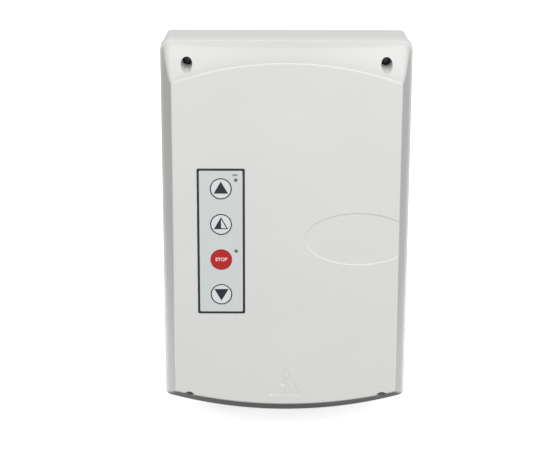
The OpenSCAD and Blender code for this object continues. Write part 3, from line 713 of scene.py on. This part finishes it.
def inset_triangle(width, height, x, base, by):
    """The same triangle moved inwards by a distance on all sides."""
    side = math.hypot(width / 2, height)
    radius = width * height / (width + 2 * side)
    share = (radius - by) / radius
    return scaled(triangle(width, height, x, base), share, (x, base + radius))


class DOORBOX_OT_cover(bpy.types.Operator):
    """Builds the moulded front cover with its scoop, pockets, oval and engraved symbol"""
    bl_idname = "doorbox.cover"
    bl_label = "Front Cover"

    def execute(self, context):
        s = context.scene.door_cover
        skin = CoverSkin(s)
        cover = skin.solid("front_cover_moulding")
        housing_low = HOUSING_LOW.z
        rib_top = housing_low + 6.5 * MM
        rib_low = housing_low - 0.6 * MM
        screws = [centre("cover_screw_" + name) for name in SCREWS]
        seat = -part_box("cover_screw_upper_left")[0].y - 3.1 * MM
        inside = skin.hollow("inside")
        combine(inside, "DIFFERENCE", [
            box_between(-RIM_HALF, RIM_HALF, rib_low, rib_top, JOINT - 2 * MM, JOINT + 9 * MM),
            box_between(-RIM_HALF, RIM_HALF, rib_low, rib_low + s.wall, JOINT - 2 * MM, FACE)])
        combine(inside, "DIFFERENCE",
                [cylinder_between(s.boss_radius, JOINT - 2 * MM, FACE, p.x, p.z)
                 for p in screws])
        combine(cover, "DIFFERENCE", [inside])
        for p in screws:
            # The mould draws a pocket a little flatter than round.
            section = [(x, p.z + (z - p.z) * 0.92)
                       for x, z in circle(p.x, p.z, s.pocket_radius)]
            mouth = scaled(section, 1.02, (p.x, p.z))
            pocket = stacked("pocket", [at_depth(section, seat), at_depth(mouth, FACE + 2 * MM)])
            bore = cylinder_between(s.bore_radius, JOINT - 1 * MM, seat + 1 * MM, p.x, p.z, 48)
            combine(cover, "DIFFERENCE", [pocket, bore])
        combine(cover, "DIFFERENCE",
                [seal_ring("groove", 3.4 * MM, JOINT - 1 * MM, JOINT + 3.2 * MM)])
        low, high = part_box("keypad_circuit")
        floor = -high.y
        gap = 0.12 * MM
        recess = rounded_box((low.x + high.x) / 2, (low.z + high.z) / 2, high.x - low.x + 2 * gap,
                             high.z - low.z + 2 * gap, 1.2 * MM)
        slot_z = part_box("keypad_tail")[1].z
        middle = (low.x + high.x) / 2
        combine(cover, "DIFFERENCE", [
            prism("recess", recess, floor, FACE + 2 * MM),
            box_between(middle - 7 * MM, middle + 7 * MM, slot_z - 1 * MM, slot_z + 1 * MM,
                        FACE - 6 * MM, floor + 1 * MM)])
        slope = 0.55 * MM / s.oval_depth
        loops = []
        for depth in (-s.oval_depth, 1.5 * MM):
            a, b = s.oval_a + slope * depth, s.oval_b + slope * depth
            around = circle(0, 0, 1, OVAL_STEPS)
            loops.append(at_depth([(s.oval_x + a * x, s.oval_z + b * z) for x, z in around],
                                  FACE + depth))
        combine(cover, "DIFFERENCE", [stacked("oval", loops)])
        combine(cover, "DIFFERENCE", self.symbol(s))
        finish_shading(cover)
        place(cover, "front_cover_moulding", "cover", "cover_abs", ["front_cover"])
        return {"FINISHED"}

    @staticmethod
    def symbol(s):
        """Cutters for the engraved triangle and the bolt inside it."""
        w, h, base = s.symbol_w, s.symbol_h, s.symbol_z
        deep = FACE - s.symbol_depth
        above = FACE + 1 * MM
        slope = 0.25 * MM
        line = s.symbol_line
        outer = inset_triangle(w, h, 0, base, 0)
        inner = inset_triangle(w, h, 0, base, line)
        ring = ringed("triangle", [
            at_depth(outer, above), at_depth(outer, FACE),
            at_depth(inset_triangle(w, h, 0, base, slope), deep),
            at_depth(inset_triangle(w, h, 0, base, line - slope), deep),
            at_depth(inner, FACE), at_depth(inner, above)])
        bolt = [(0, 14), (-3.6, 8.1), (-0.5, 8.1), (-0.8, 3), (2.3, 9.6), (0.5, 9.6), (1.6, 14)]
        bolt = [(x * MM, base + z * MM) for x, z in bolt]
        middle = (0, base + 8.5 * MM)
        mark = stacked("bolt", [at_depth(scaled(bolt, 0.86, middle), deep), at_depth(bolt, FACE),
                                at_depth(bolt, above)])
        return [ring, mark]


# ------------------------------------------------------------------ keypad

class DOORBOX_OT_keypad(bpy.types.Operator):
    """Builds the keypad's printed film, its border and lamp windows"""
    bl_idname = "doorbox.keypad"
    bl_label = "Keypad"

    def execute(self, context):
        s = context.scene.door_keypad
        low, high = KEYPAD_LOW, KEYPAD_HIGH
        mid = (low + high) / 2
        width = high.x - low.x
        height = high.z - low.z
        outline = rounded_box(mid.x, mid.z, width, height, 1.1 * MM)
        film = prism("film", outline, -high.y, -low.y)
        radius = (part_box("open_key")[1].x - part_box("open_key")[0].x) / 2 - 1.1 * MM
        keys = [centre(name) for name in KEYS]
        combine(film, "DIFFERENCE", [
            cylinder_between(radius + 0.06 * MM, 0, 1, k.x, k.z) for k in keys])
        lamp_low, lamp_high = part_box("lamp_windows")
        lamp_x = (lamp_low.x + lamp_high.x) / 2
        lamp_r = (lamp_high.x - lamp_low.x) / 2
        lamps = [lamp_high.z - lamp_r, lamp_low.z + lamp_r]
        combine(film, "DIFFERENCE", [
            cylinder_between(lamp_r + 0.02 * MM, 0, 1, lamp_x, z, 32) for z in lamps])
        finish_shading(film)
        place(film, "keypad_film_sheet", "cover", "keypad_film", ["keypad_overlay"])
        face = -low.y
        edge = 0.05 * MM
        outer = rounded_box(mid.x, mid.z, width - 2 * edge, height - 2 * edge, 1.1 * MM)
        inner = rounded_box(mid.x, mid.z, width - 2 * s.border, height - 2 * s.border, 0.9 * MM)
        border = band("border", outer, inner, face - s.ink, face + s.ink)
        dashes = []
        for z in (3.3, 4.1):
            dash = rounded_box(lamp_x - 0.5 * MM, lamps[0] + z * MM, 3.8 * MM, 0.4 * MM, 0.15 * MM)
            dashes.append(prism("dash", dash, face - s.ink, face + s.ink))
        place(joined("keypad_print", [border] + dashes), "keypad_print", "cover", "keypad_film",
              material="ink")
        return {"FINISHED"}


class DOORBOX_OT_keys(bpy.types.Operator):
    """Builds the four keys with their printed rings, arrows and stop disc"""
    bl_idname = "doorbox.keys"
    bl_label = "Keys"

    def execute(self, context):
        s = context.scene.door_keypad
        for name in KEYS:
            low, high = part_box(name)
            mid = (low + high) / 2
            flange = (high.x - low.x) / 2
            radius = flange - 1.1 * MM
            face = -low.y
            back = -high.y
            soft = 0.12 * MM
            shelf = back + 0.3 * MM
            profile = [(0, back), (flange, back), (flange, shelf), (radius, shelf),
                       (radius, face - soft), (radius - soft, face), (0, face)]
            key = turned(name, profile, mid.x, mid.z, 96)
            finish_shading(key)
            slot = "stop_film" if name == "stop_key" else "keypad_film"
            place(key, name + "_pad", name, slot, [name], material="key_face")
            for suffix, material, mark in self.marks(name, s, mid, face):
                place(mark, name + suffix, name, slot, material=material)
        return {"FINISHED"}

    @staticmethod
    def marks(name, s, mid, face):
        """The ink on one key, as (name suffix, material, mesh)."""
        x, z = mid.x, mid.z
        ink = s.ink

        def flat(outline, lift=1):
            return prism("ink", outline, face - ink, face + ink * lift)

        def ring(radius, line, lift=1):
            outer, inner = (circle(x, z, radius + side * line / 2, 96) for side in (1, -1))
            return band("ring", outer, inner, face - ink, face + ink * lift)

        if name == "stop_key":
            disc = flat(circle(x, z, s.stop_radius, 96))
            edge = ring(s.stop_radius - 0.2 * MM, 0.5 * MM, 1.6)
            return [("_disc", "stop_film", disc), ("_edge", "stop_edge", edge),
                    ("_word", "white_ink", stop_word(x, z, s, face))]
        w, h = s.arrow_w, s.arrow_h
        base = z - h * 0.40
        if name == "close_key":
            top = z + h * 0.45
            arrow = [flat([(x, z - h * 0.55), (x + w / 2, top), (x - w / 2, top)])]
        elif name == "open_key":
            arrow = [flat(triangle(w, h, x, base))]
        else:
            line = 0.75 * MM
            outer = triangle(w, h, x, base)
            inner = inset_triangle(w, h, x, base, line)
            outline = band("outline", outer, inner, face - ink, face + ink)
            filled = [(inner[0][0], inner[0][1]), (x, inner[0][1]), (x, inner[2][1])]
            arrow = [outline, flat(filled, 0.99)]
        marks = [ring(s.ring_radius, s.ring_line)] + arrow
        return [("_marks", "ink", joined("marks", marks))]


def stop_word(x, z, s, face):
    """The generic stop word, as raised ink from the built-in font."""
    curve = bpy.data.curves.new("word", "FONT")
    curve.body = "STOP"
    curve.size = s.letter_h / 0.7
    curve.align_x = "CENTER"
    curve.align_y = "CENTER"
    curve.extrude = s.ink
    curve.offset = 0.08 * MM
    text = bpy.data.objects.new("word", curve)
    bpy.context.scene.collection.objects.link(text)
    bpy.context.view_layer.update()
    mesh = bpy.data.meshes.new_from_object(text.evaluated_get(
        bpy.context.evaluated_depsgraph_get()))
    bpy.data.objects.remove(text)
    # Letters lie in X and Y, and turn up to face -Y.
    for vertex in mesh.vertices:
        vx, vy, vz = vertex.co
        vertex.co = (x + vx, -face - 2 * s.ink - vz, z + vy)
    obj = bpy.data.objects.new("word", mesh)
    bpy.context.scene.collection.objects.link(obj)
    return obj


class DOORBOX_OT_screws(bpy.types.Operator):
    """Builds the four cover screws with their domed heads and cross recesses"""
    bl_idname = "doorbox.screws"
    bl_label = "Cover Screws"

    def execute(self, context):
        for name in SCREWS:
            low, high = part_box("cover_screw_" + name)
            mid = (low + high) / 2
            seat = -low.y - 3 * MM
            head = (high.x - low.x) / 2
            shank, point, pitch = 2 * MM, 1.2 * MM, 0.7 * MM
            tip = -high.y
            profile = [(0, tip), (shank * 0.6, tip), (shank, tip + point)]
            for i in range(1, int((seat - 12 * MM - tip) / pitch)):
                depth = tip + point + i * pitch
                profile += [(shank, depth), (shank - 0.3 * MM, depth + pitch / 2)]
            profile += [(shank, seat - 10 * MM), (shank, seat)]
            profile += [(head * share, seat + up * MM) for share, up in
                        ((1, 0), (1, 1.4), (0.92, 2.1), (0.7, 2.7), (0.35, 3), (0, 3))]
            screw = turned("screw", profile, mid.x, mid.z, 48)
            depth0, depth1 = seat + 1.1 * MM, seat + 4 * MM
            across, thick = 2.5 * MM, 0.55 * MM
            combine(screw, "DIFFERENCE", [
                box_between(mid.x - across, mid.x + across, mid.z - thick, mid.z + thick,
                            depth0, depth1),
                box_between(mid.x - thick, mid.x + thick, mid.z - across, mid.z + across,
                            depth0, depth1)])
            finish_shading(screw)
            place(screw, "screw_" + name + "_pan_head", "screw_" + name, "screw_steel",
                  ["cover_screw_" + name])
        return {"FINISHED"}


class DOORBOX_OT_housing(bpy.types.Operator):
    """Builds the drafted rear housing with its posts, ribs, pillars and holes"""
    bl_idname = "doorbox.housing"
    bl_label = "Rear Housing"

    def execute(self, context):
        s = context.scene.door_housing
        lip = -HOUSING_LOW.y
        floor = s.pad + s.wall
        soft = s.back_edge
        rounding = [(s.pad + a * soft, b * soft) for a, b in
                    ((0, 1), (0.07, 0.63), (0.3, 0.3), (0.63, 0.07), (1, 0))]
        housing = self.shell("rear_housing_moulding", s, 0,
                             rounding + [(lip - 0.4 * MM, 0), (lip, 0.3 * MM)])
        combine(housing, "DIFFERENCE", [self.shell("space", s, s.wall, [
            (floor, 1.6 * MM), (floor + 0.5 * MM, 0.5 * MM), (floor + 1.6 * MM, 0),
            (lip + 1 * MM, 0)])])
        root = floor - 0.5 * MM
        left, right = -HOUSING_HIGH.x + s.wall, HOUSING_HIGH.x - s.wall
        low, high = HOUSING_LOW.z + s.wall, HOUSING_HIGH.z - s.wall - s.top_draft
        thin, row, column = 0.6 * MM, 62 * MM, 42 * MM
        bar = box_between(left, right, -thin, thin, root, floor + s.rib)
        across = repeated(bar, 3, (0, 0, row))
        bar = box_between(-thin, thin, low, high, root, floor + s.rib)
        upright = repeated(bar, 3, (column, 0, 0))
        combine(housing, "UNION", [moved(across, z=-row)])
        combine(housing, "UNION", [moved(upright, x=-column)])
        screws = [centre("cover_screw_" + name) for name in SCREWS]
        holes = [(x * s.holes_w / 2, z * s.holes_h / 2) for x in (-1, 1) for z in (-1, 1)]
        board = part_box("board_screws")[1]
        head = 2.8 * MM
        pillars = [(x * (board.x - head), z * (board.z - head))
                   for x in (-1, 1) for z in (-1, 0, 1)]
        seat = -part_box("main_board")[1].y
        earth = centre("earth_bar").z
        earth_x = (-24 * MM, 24 * MM)
        solids = [cylinder_between(s.pad_radius, 0, floor - 0.5 * MM, x, z) for x, z in holes]
        solids += [cylinder_between(s.post_radius, root, lip, q.x, q.z) for q in screws]
        solids += [cylinder_between(s.pillar_radius, root, seat, x, z, 40) for x, z in pillars]
        for q in screws:
            z0, z1 = (q.z, high + 1 * MM) if q.z > 0 else (low - 1 * MM, q.z)
            solids.append(box_between(q.x - 1.5 * MM, q.x + 1.5 * MM, z0, z1, root, lip - 8 * MM))
        solids += [box_between(x - 4 * MM, x + 4 * MM, earth - 7 * MM, earth + 7 * MM, root,
                               floor + 5 * MM) for x in earth_x]
        combine(housing, "UNION", solids)
        cuts = [cylinder_between(s.hole_radius, -1 * MM, floor + 4 * MM, x, z, 40)
                for x, z in holes]
        deep, step, out = lip - s.insert_depth - 8 * MM, lip - s.insert_depth, lip + 1 * MM
        bore = [(0, deep), (s.thread_radius, deep), (s.thread_radius, step),
                (s.insert_radius, step), (s.insert_radius, out), (0, out)]
        cuts += [turned("bore", bore, q.x, q.z) for q in screws]
        cuts += [cylinder_between(s.pilot_radius, floor, seat + 1 * MM, x, z, 24)
                 for x, z in pillars]
        cuts += [cylinder_between(s.pilot_radius, floor - 1 * MM, floor + 6 * MM, x, earth, 24)
                 for x in earth_x]
        cuts += [upright_cylinder(s.gland_radius, HOUSING_LOW.z - 1 * MM, low + 1 * MM,
                                  (i - 1.5) * s.gland_pitch, s.gland_depth) for i in range(4)]
        combine(housing, "DIFFERENCE", cuts)
        finish_shading(housing)
        place(housing, "rear_housing_moulding", "housing", "housing_abs", ["rear_housing"])
        return {"FINISHED"}

    @staticmethod
    def shell(name, s, skin, stations):
        """The drafted outline at several (depth, inset) stations, moved inwards by skin."""
        loops = []
        for depth, inset in stations:
            back = 1 + depth / HOUSING_LOW.y
            half = HOUSING_HIGH.x - s.draft * back - skin - inset
            top = HOUSING_HIGH.z - s.top_draft * back - skin - inset
            low = HOUSING_LOW.z + skin + inset
            r = max(s.edge_radius - skin, 2 * MM)
            outline = rounded_box(0, (top + low) / 2, 2 * half, top - low, r, 8)
            loops.append(at_depth(outline, depth))
        return stacked(name, loops)


def upright_cylinder(radius, z0, z1, x, depth, steps=64):
    """A cylinder that stands along Z."""
    outline = circle(x, -depth, radius, steps)
    return stacked("upright", [[(px, py, z) for px, py in outline] for z in (z0, z1)])


class DOORBOX_OT_transformer(bpy.types.Operator):
    """Builds the transformer's laminated core and its copper winding on a white bobbin"""
    bl_idname = "doorbox.transformer"
    bl_label = "Transformer"

    def execute(self, context):
        low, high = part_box("transformer_core")
        mid = (low + high) / 2
        half_w, half_h = (high.x - low.x) / 2, (high.z - low.z) / 2
        window_w, window_h, window_x = 8 * MM, 24 * MM, 12 * MM

        def layer(depth0, depth1, inset):
            """The core's outline with its two windows, between two depths."""
            sheet = box_between(-half_w + inset, half_w - inset, -half_h + inset, half_h - inset,
                                depth0, depth1)
            return combine(sheet, "DIFFERENCE", [
                box_between(x - window_w / 2 - inset, x + window_w / 2 + inset,
                            -window_h / 2 - inset, window_h / 2 + inset, depth0 - 1 * MM,
                            depth1 + 1 * MM) for x in (-window_x, window_x)])

        pitch = 0.64 * MM
        count = int((high.y - low.y) / pitch)
        sheets = repeated(layer(0, 0.5 * MM, 0), count, (0, -pitch, 0), material="core_steel")
        moved(sheets, mid.x, -high.y, mid.z)
        body = moved(layer(-high.y + 0.1 * MM, -low.y - 0.3 * MM, 0.2 * MM), mid.x, 0, mid.z)
        place(joined("core", [sheets, body]), "transformer_laminations", "housing", "core_steel",
              ["transformer_core"])
        self.winding(mid)
        return {"FINISHED"}

    @staticmethod
    def winding(mid):
        """Copper turns around the bobbin's middle, between its two flanges."""
        low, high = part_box("transformer_winding")
        half_w, half_h = (high.x - low.x) / 2, (high.z - low.z) / 2
        back = -high.y + 7 * MM
        front = -low.y
        middle = -(back + front) / 2
        wire = 0.45 * MM

        def loop(inset, z):
            """A round-cornered loop around the bobbin."""
            outline = rounded_box(0, middle, 2 * (half_w - inset), front - back - 2 * inset,
                                  2.4 * MM)
            return [(x, y, z) for x, y in outline]

        turn = ringed("turn", [loop(wire * (2.2 - math.cos(a)), wire * math.sin(a))
                               for a in [math.pi / 4 * i for i in range(8)]])
        inner = half_h - 1.6 * MM
        count = int(2 * inner / (2 * wire))
        turns = moved(repeated(turn, count, (0, 0, 2 * wire), material="copper_wire"), mid.x, 0,
                      mid.z - inner + wire)
        wound = stacked("wound", [loop(1.2 * MM, -inner), loop(1.2 * MM, inner)])
        flanges = []
        for side in (-1, 1):
            ends = sorted((side * inner, side * half_h))
            flanges.append(stacked("flange", [loop(0, z) for z in ends]))
        pins = [cylinder_between(0.6 * MM, -high.y, back + 1 * MM, x * MM, z * MM, 16)
                for x in (-12, -4, 4, 12) for z in (-9, 9)]
        reach, skin = 8.2 * MM, 5.8 * MM
        for piece in [wound] + flanges:
            combine(piece, "DIFFERENCE", [
                box_between(-reach, reach, -30 * MM, 30 * MM, back + skin, front - skin)])
        moved(wound, mid.x, 0, mid.z)
        place(joined("winding", [turns, wound]), "transformer_turns", "housing", "copper_wire",
              ["transformer_winding"])
        place(moved(joined("bobbin", flanges + pins), mid.x, 0, mid.z), "transformer_bobbin",
              "housing", "copper_wire", material="white_plastic")


class DOORBOX_OT_board_details(bpy.types.Operator):
    """Adds what is printed and fitted on the board: legends, capacitors, display digits, poles"""
    bl_idname = "doorbox.board_details"
    bl_label = "Board Details"

    def execute(self, context):
        face = -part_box("main_board")[0].y
        self.legend(face)
        self.capacitors(face)
        self.digits()
        for name in ("mains_terminal", "motor_terminal", "control_terminals"):
            self.poles(name)
        return {"FINISHED"}

    @staticmethod
    def legend(face):
        """White outlines printed around the parts on the board."""
        frames = []
        for name in ("relays", "filter_choke", "sounder", "status_display", "selector_base",
                     "button_bases", "microcontroller", "fuse_holder", "ribbon_header",
                     "power_capacitors", "transformer_clamp", "heat_sink", "surge_discs"):
            low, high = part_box(name)
            mid = (low + high) / 2
            w, h = high.x - low.x + 2 * MM, high.z - low.z + 2 * MM
            outer = rounded_box(mid.x, mid.z, w, h, 0.5 * MM, 2)
            inner = rounded_box(mid.x, mid.z, w - 0.5 * MM, h - 0.5 * MM, 0.3 * MM, 2)
            frames.append(band("frame", outer, inner, face - 0.02 * MM, face + 0.02 * MM))
        place(joined("legend", frames), "board_legend", "housing", "circuit_board",
              material="white_ink")

    @staticmethod
    def capacitors(face):
        """Sleeved cans with a rolled edge, a bright top and the scored vent."""
        sleeves, tops = [], []
        for x, z, radius, height in ((-1, 62, 9, 27), (-1, 38, 8, 22), (-1, 18, 5, 16)):
            x, z, r, h = x * MM, z * MM, radius * MM, face + height * MM
            sleeves.append(turned("sleeve", [
                (0, face), (r - 0.5 * MM, face), (r, face + 0.7 * MM), (r, face + 2.2 * MM),
                (r - 0.5 * MM, face + 3 * MM), (r, face + 3.8 * MM), (r, h - 0.8 * MM),
                (r - 0.25 * MM, h - 0.2 * MM), (r - 1 * MM, h), (r - 1.5 * MM, h),
                (r - 1.5 * MM, h - 0.5 * MM), (0, h - 0.5 * MM)], x, z, 64))
            top = turned("top", [(0, h - 0.6 * MM), (r - 1.5 * MM, h - 0.6 * MM),
                                 (r - 1.5 * MM, h + 0.2 * MM), (r - 1.8 * MM, h + 0.35 * MM),
                                 (0, h + 0.35 * MM)], x, z, 64)
            reach, thin = r - 2 * MM, 0.2 * MM
            tops.append(combine(top, "DIFFERENCE", [
                box_between(x - reach, x + reach, z - thin, z + thin, h + 0.1 * MM, h + 1 * MM),
                box_between(x - thin, x + thin, z - reach, z + reach, h + 0.1 * MM, h + 1 * MM)]))
        place(finish_shading(joined("sleeves", sleeves)), "capacitor_sleeves", "housing",
              "capacitor_sleeve", ["power_capacitors"])
        place(finish_shading(joined("tops", tops)), "capacitor_tops", "housing",
              "capacitor_sleeve", material="zinc_steel")

    @staticmethod
    def digits():
        """Two seven-segment digits behind the display's window."""
        low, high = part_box("status_display")
        mid = (low + high) / 2
        front = -low.y
        w, h, line = 3.4 * MM, 5.6 * MM, 0.8 * MM
        across = [(0, z, 2 * w - 1.4 * line, line) for z in (-h, 0, h)]
        upright = [(x, z, line, h - 0.7 * line) for x in (-w, w) for z in (-h / 2, h / 2)]
        bars = []
        for middle in (mid.x - 5 * MM, mid.x + 5 * MM):
            for x, z, width, height in across + upright:
                bar = rounded_box(middle + x, mid.z + z, width, height, 0.35 * MM, 3)
                bars.append(prism("bar", bar, front - 0.1 * MM, front + 0.05 * MM))
        place(joined("digits", bars), "display_segments", "housing", "display_red",
              material="stop_film")

    @staticmethod
    def poles(name):
        """Raised partitions between the poles of a terminal block."""
        low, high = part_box(name)
        pitch = 7.2 * MM
        count = round((high.x - low.x) / pitch)
        wall = box_between(-0.35 * MM, 0.35 * MM, low.z + 0.3 * MM, high.z - 0.3 * MM,
                           -high.y + 0.4 * MM, -low.y + 0.7 * MM)
        row = moved(repeated(wall, count + 1, (pitch * (1 - 0.1 / count), 0, 0),
                             material="green_terminal"), low.x + 0.35 * MM)
        place(row, name + "_partitions", "housing", "green_terminal")


class DOORBOX_OT_gland_grips(bpy.types.Operator):
    """Adds the grip ribs around the round end of each gland's cap nut"""
    bl_idname = "doorbox.gland_grips"
    bl_label = "Gland Grips"

    def execute(self, context):
        s = context.scene.door_housing
        low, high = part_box("gland_cap_nuts")
        radius = (high.y - low.y) / 2
        wedge = ((-0.8, -0.7), (-0.8, 0.7), (-0.02, 0.35), (-0.02, -0.35))
        rib = stacked("rib", [[(radius + x * MM, y * MM, z) for x, y in wedge]
                              for z in (low.z + 0.4 * MM, low.z + 4.8 * MM)])
        ring = repeated(rib, 24, (0, 0, 0), (0, 0, math.pi / 12), "gland_nylon")
        rows = repeated(ring, 3, (s.gland_pitch, 0, 0), material="gland_nylon")
        place(moved(rows, -1.5 * s.gland_pitch, s.gland_depth), "gland_cap_grips", "housing",
              "gland_nylon")
        return {"FINISHED"}


class DOORBOX_OT_inner_parts(bpy.types.Operator):
    """Gives the frame's own inner pieces their finishes"""
    bl_idname = "doorbox.inner_parts"
    bl_label = "Inner Parts"

    def execute(self, context):
        slots = {entry["node"]: entry["material_slot"] for entry in frame["record"]["subparts"]}
        for name, obj in NODES.items():
            obj.data.materials.clear()
            obj.data.materials.append(MATERIALS[slots[name]])
        return {"FINISHED"}


# ------------------------------------------------------------------ stage

class DOORBOX_OT_stage(bpy.types.Operator):
    """Sets out the pale floor, the soft lights and the camera"""
    bl_idname = "doorbox.stage"
    bl_label = "Stage"

    def execute(self, context):
        scene = context.scene
        half = 6.0
        floor_z = LOW - 0.3 * MM
        mesh = bpy.data.meshes.new("floor")
        mesh.from_pydata([(-half, -half, floor_z), (half, -half, floor_z), (half, half, floor_z),
                          (-half, half, floor_z)], [], [[0, 1, 2, 3]])
        floor = bpy.data.objects.new("floor", mesh)
        scene.collection.objects.link(floor)
        table = shader("light_table_acrylic", Base_Color=linear("#FCFCFB"), Roughness=0.9,
                       Emission_Color=linear("#FFFFFF"), Emission_Strength=0.6)[0]
        mesh.materials.append(table)
        # The table lights nothing, so that the unit's underside stays in shade.
        floor.visible_diffuse = False
        floor.visible_glossy = False
        self.light("key", (0.28, -1.83, 0.75), 1.4, 22.2, (0, 0, 0))
        for side, power in ((-1, 0.11), (1, 0.08)):
            low_end = (side * RIM_HALF, -JOINT, LOW + 30 * MM)
            self.light("low_fill", (side * 0.245, -0.09, LOW + 30 * MM), 0.06, power, low_end)
        self.light("back", (0, 1.6, 1.9), 2.0, 3.8, (0, 0, 0))
        self.sky(scene, 0.7, 0.05)
        camera = bpy.data.cameras.new("camera")
        camera.sensor_width = 36
        camera.lens = 105.9
        camera.clip_end = 50
        view = bpy.data.objects.new("camera", camera)
        view.location = (-0.0091, -1.2447, 0.3624)
        view.rotation_euler = (math.radians(73.3), math.radians(-0.16), 0)
        scene.collection.objects.link(view)
        scene.camera = view
        scene.view_settings.view_transform = "Standard"
        return {"FINISHED"}

    @staticmethod
    def sky(scene, above, below):
        """A soft room light that is stronger from above the horizon than from below it."""
        world = bpy.data.worlds.new("studio")
        scene.world = world
        world.use_nodes = True
        tree = world.node_tree
        ray = add(tree, "ShaderNodeTexCoord").outputs["Generated"]
        height = add(tree, "ShaderNodeSeparateXYZ", {"Vector": ray}).outputs["Z"]
        strength = add(tree, "ShaderNodeMapRange", {"Value": height, "From Min": -0.34,
                                                    "From Max": 0, "To Min": below,
                                                    "To Max": above})
        tree.links.new(strength.outputs["Result"], tree.nodes["Background"].inputs["Strength"])
        tree.nodes["Background"].inputs["Color"].default_value = linear("#FFFFFF")

    @staticmethod
    def light(name, position, size, power, target):
        """A square soft light that faces a target."""
        lamp = bpy.data.lights.new(name, "AREA")
        lamp.energy = power
        lamp.size = size
        obj = bpy.data.objects.new(name, lamp)
        obj.location = position
        aim = Vector(target) - Vector(position)
        obj.rotation_euler = aim.to_track_quat("-Z", "Y").to_euler()
        bpy.context.scene.collection.objects.link(obj)


OPERATORS = (DOORBOX_OT_inner_parts, DOORBOX_OT_cover, DOORBOX_OT_keypad, DOORBOX_OT_keys,
             DOORBOX_OT_screws, DOORBOX_OT_housing, DOORBOX_OT_transformer,
             DOORBOX_OT_board_details, DOORBOX_OT_gland_grips, DOORBOX_OT_stage)


class DOORBOX_PT_panel(bpy.types.Panel):
    """Lists the steps that build the unit"""
    bl_idname = "DOORBOX_PT_panel"
    bl_label = "Door Control"
    bl_space_type = "VIEW_3D"
    bl_region_type = "UI"
    bl_category = "Door Control"

    def draw(self, context):
        """A button for each step, then every size and colour."""
        for operator in OPERATORS:
            self.layout.operator(operator.bl_idname)
        for group in GROUPS:
            sizes = getattr(context.scene, group)
            for name in type(sizes).__annotations__:
                self.layout.prop(sizes, name)


GROUPS = {"door_cover": CoverSizes, "door_housing": HousingSizes, "door_keypad": KeypadSizes,
          "door_finish": Finish}


def register():
    """Registers the groups, the operators and the panel."""
    for group in GROUPS.values():
        bpy.utils.register_class(group)
    for name, group in GROUPS.items():
        setattr(bpy.types.Scene, name, bpy.props.PointerProperty(type=group))
    for item in OPERATORS + (DOORBOX_PT_panel,):
        bpy.utils.register_class(item)


def unregister():
    """Takes back what register() did."""
    for item in reversed(OPERATORS + (DOORBOX_PT_panel,)):
        bpy.utils.unregister_class(item)
    for name in GROUPS:
        delattr(bpy.types.Scene, name)
    for group in reversed(GROUPS.values()):
        bpy.utils.unregister_class(group)


def main():
    """Builds the unit."""
    register()
    make_materials()
    for operator in OPERATORS:
        category, name = operator.bl_idname.split(".")
        getattr(getattr(bpy.ops, category), name)()
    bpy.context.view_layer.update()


if __name__ == "__main__":
    main()
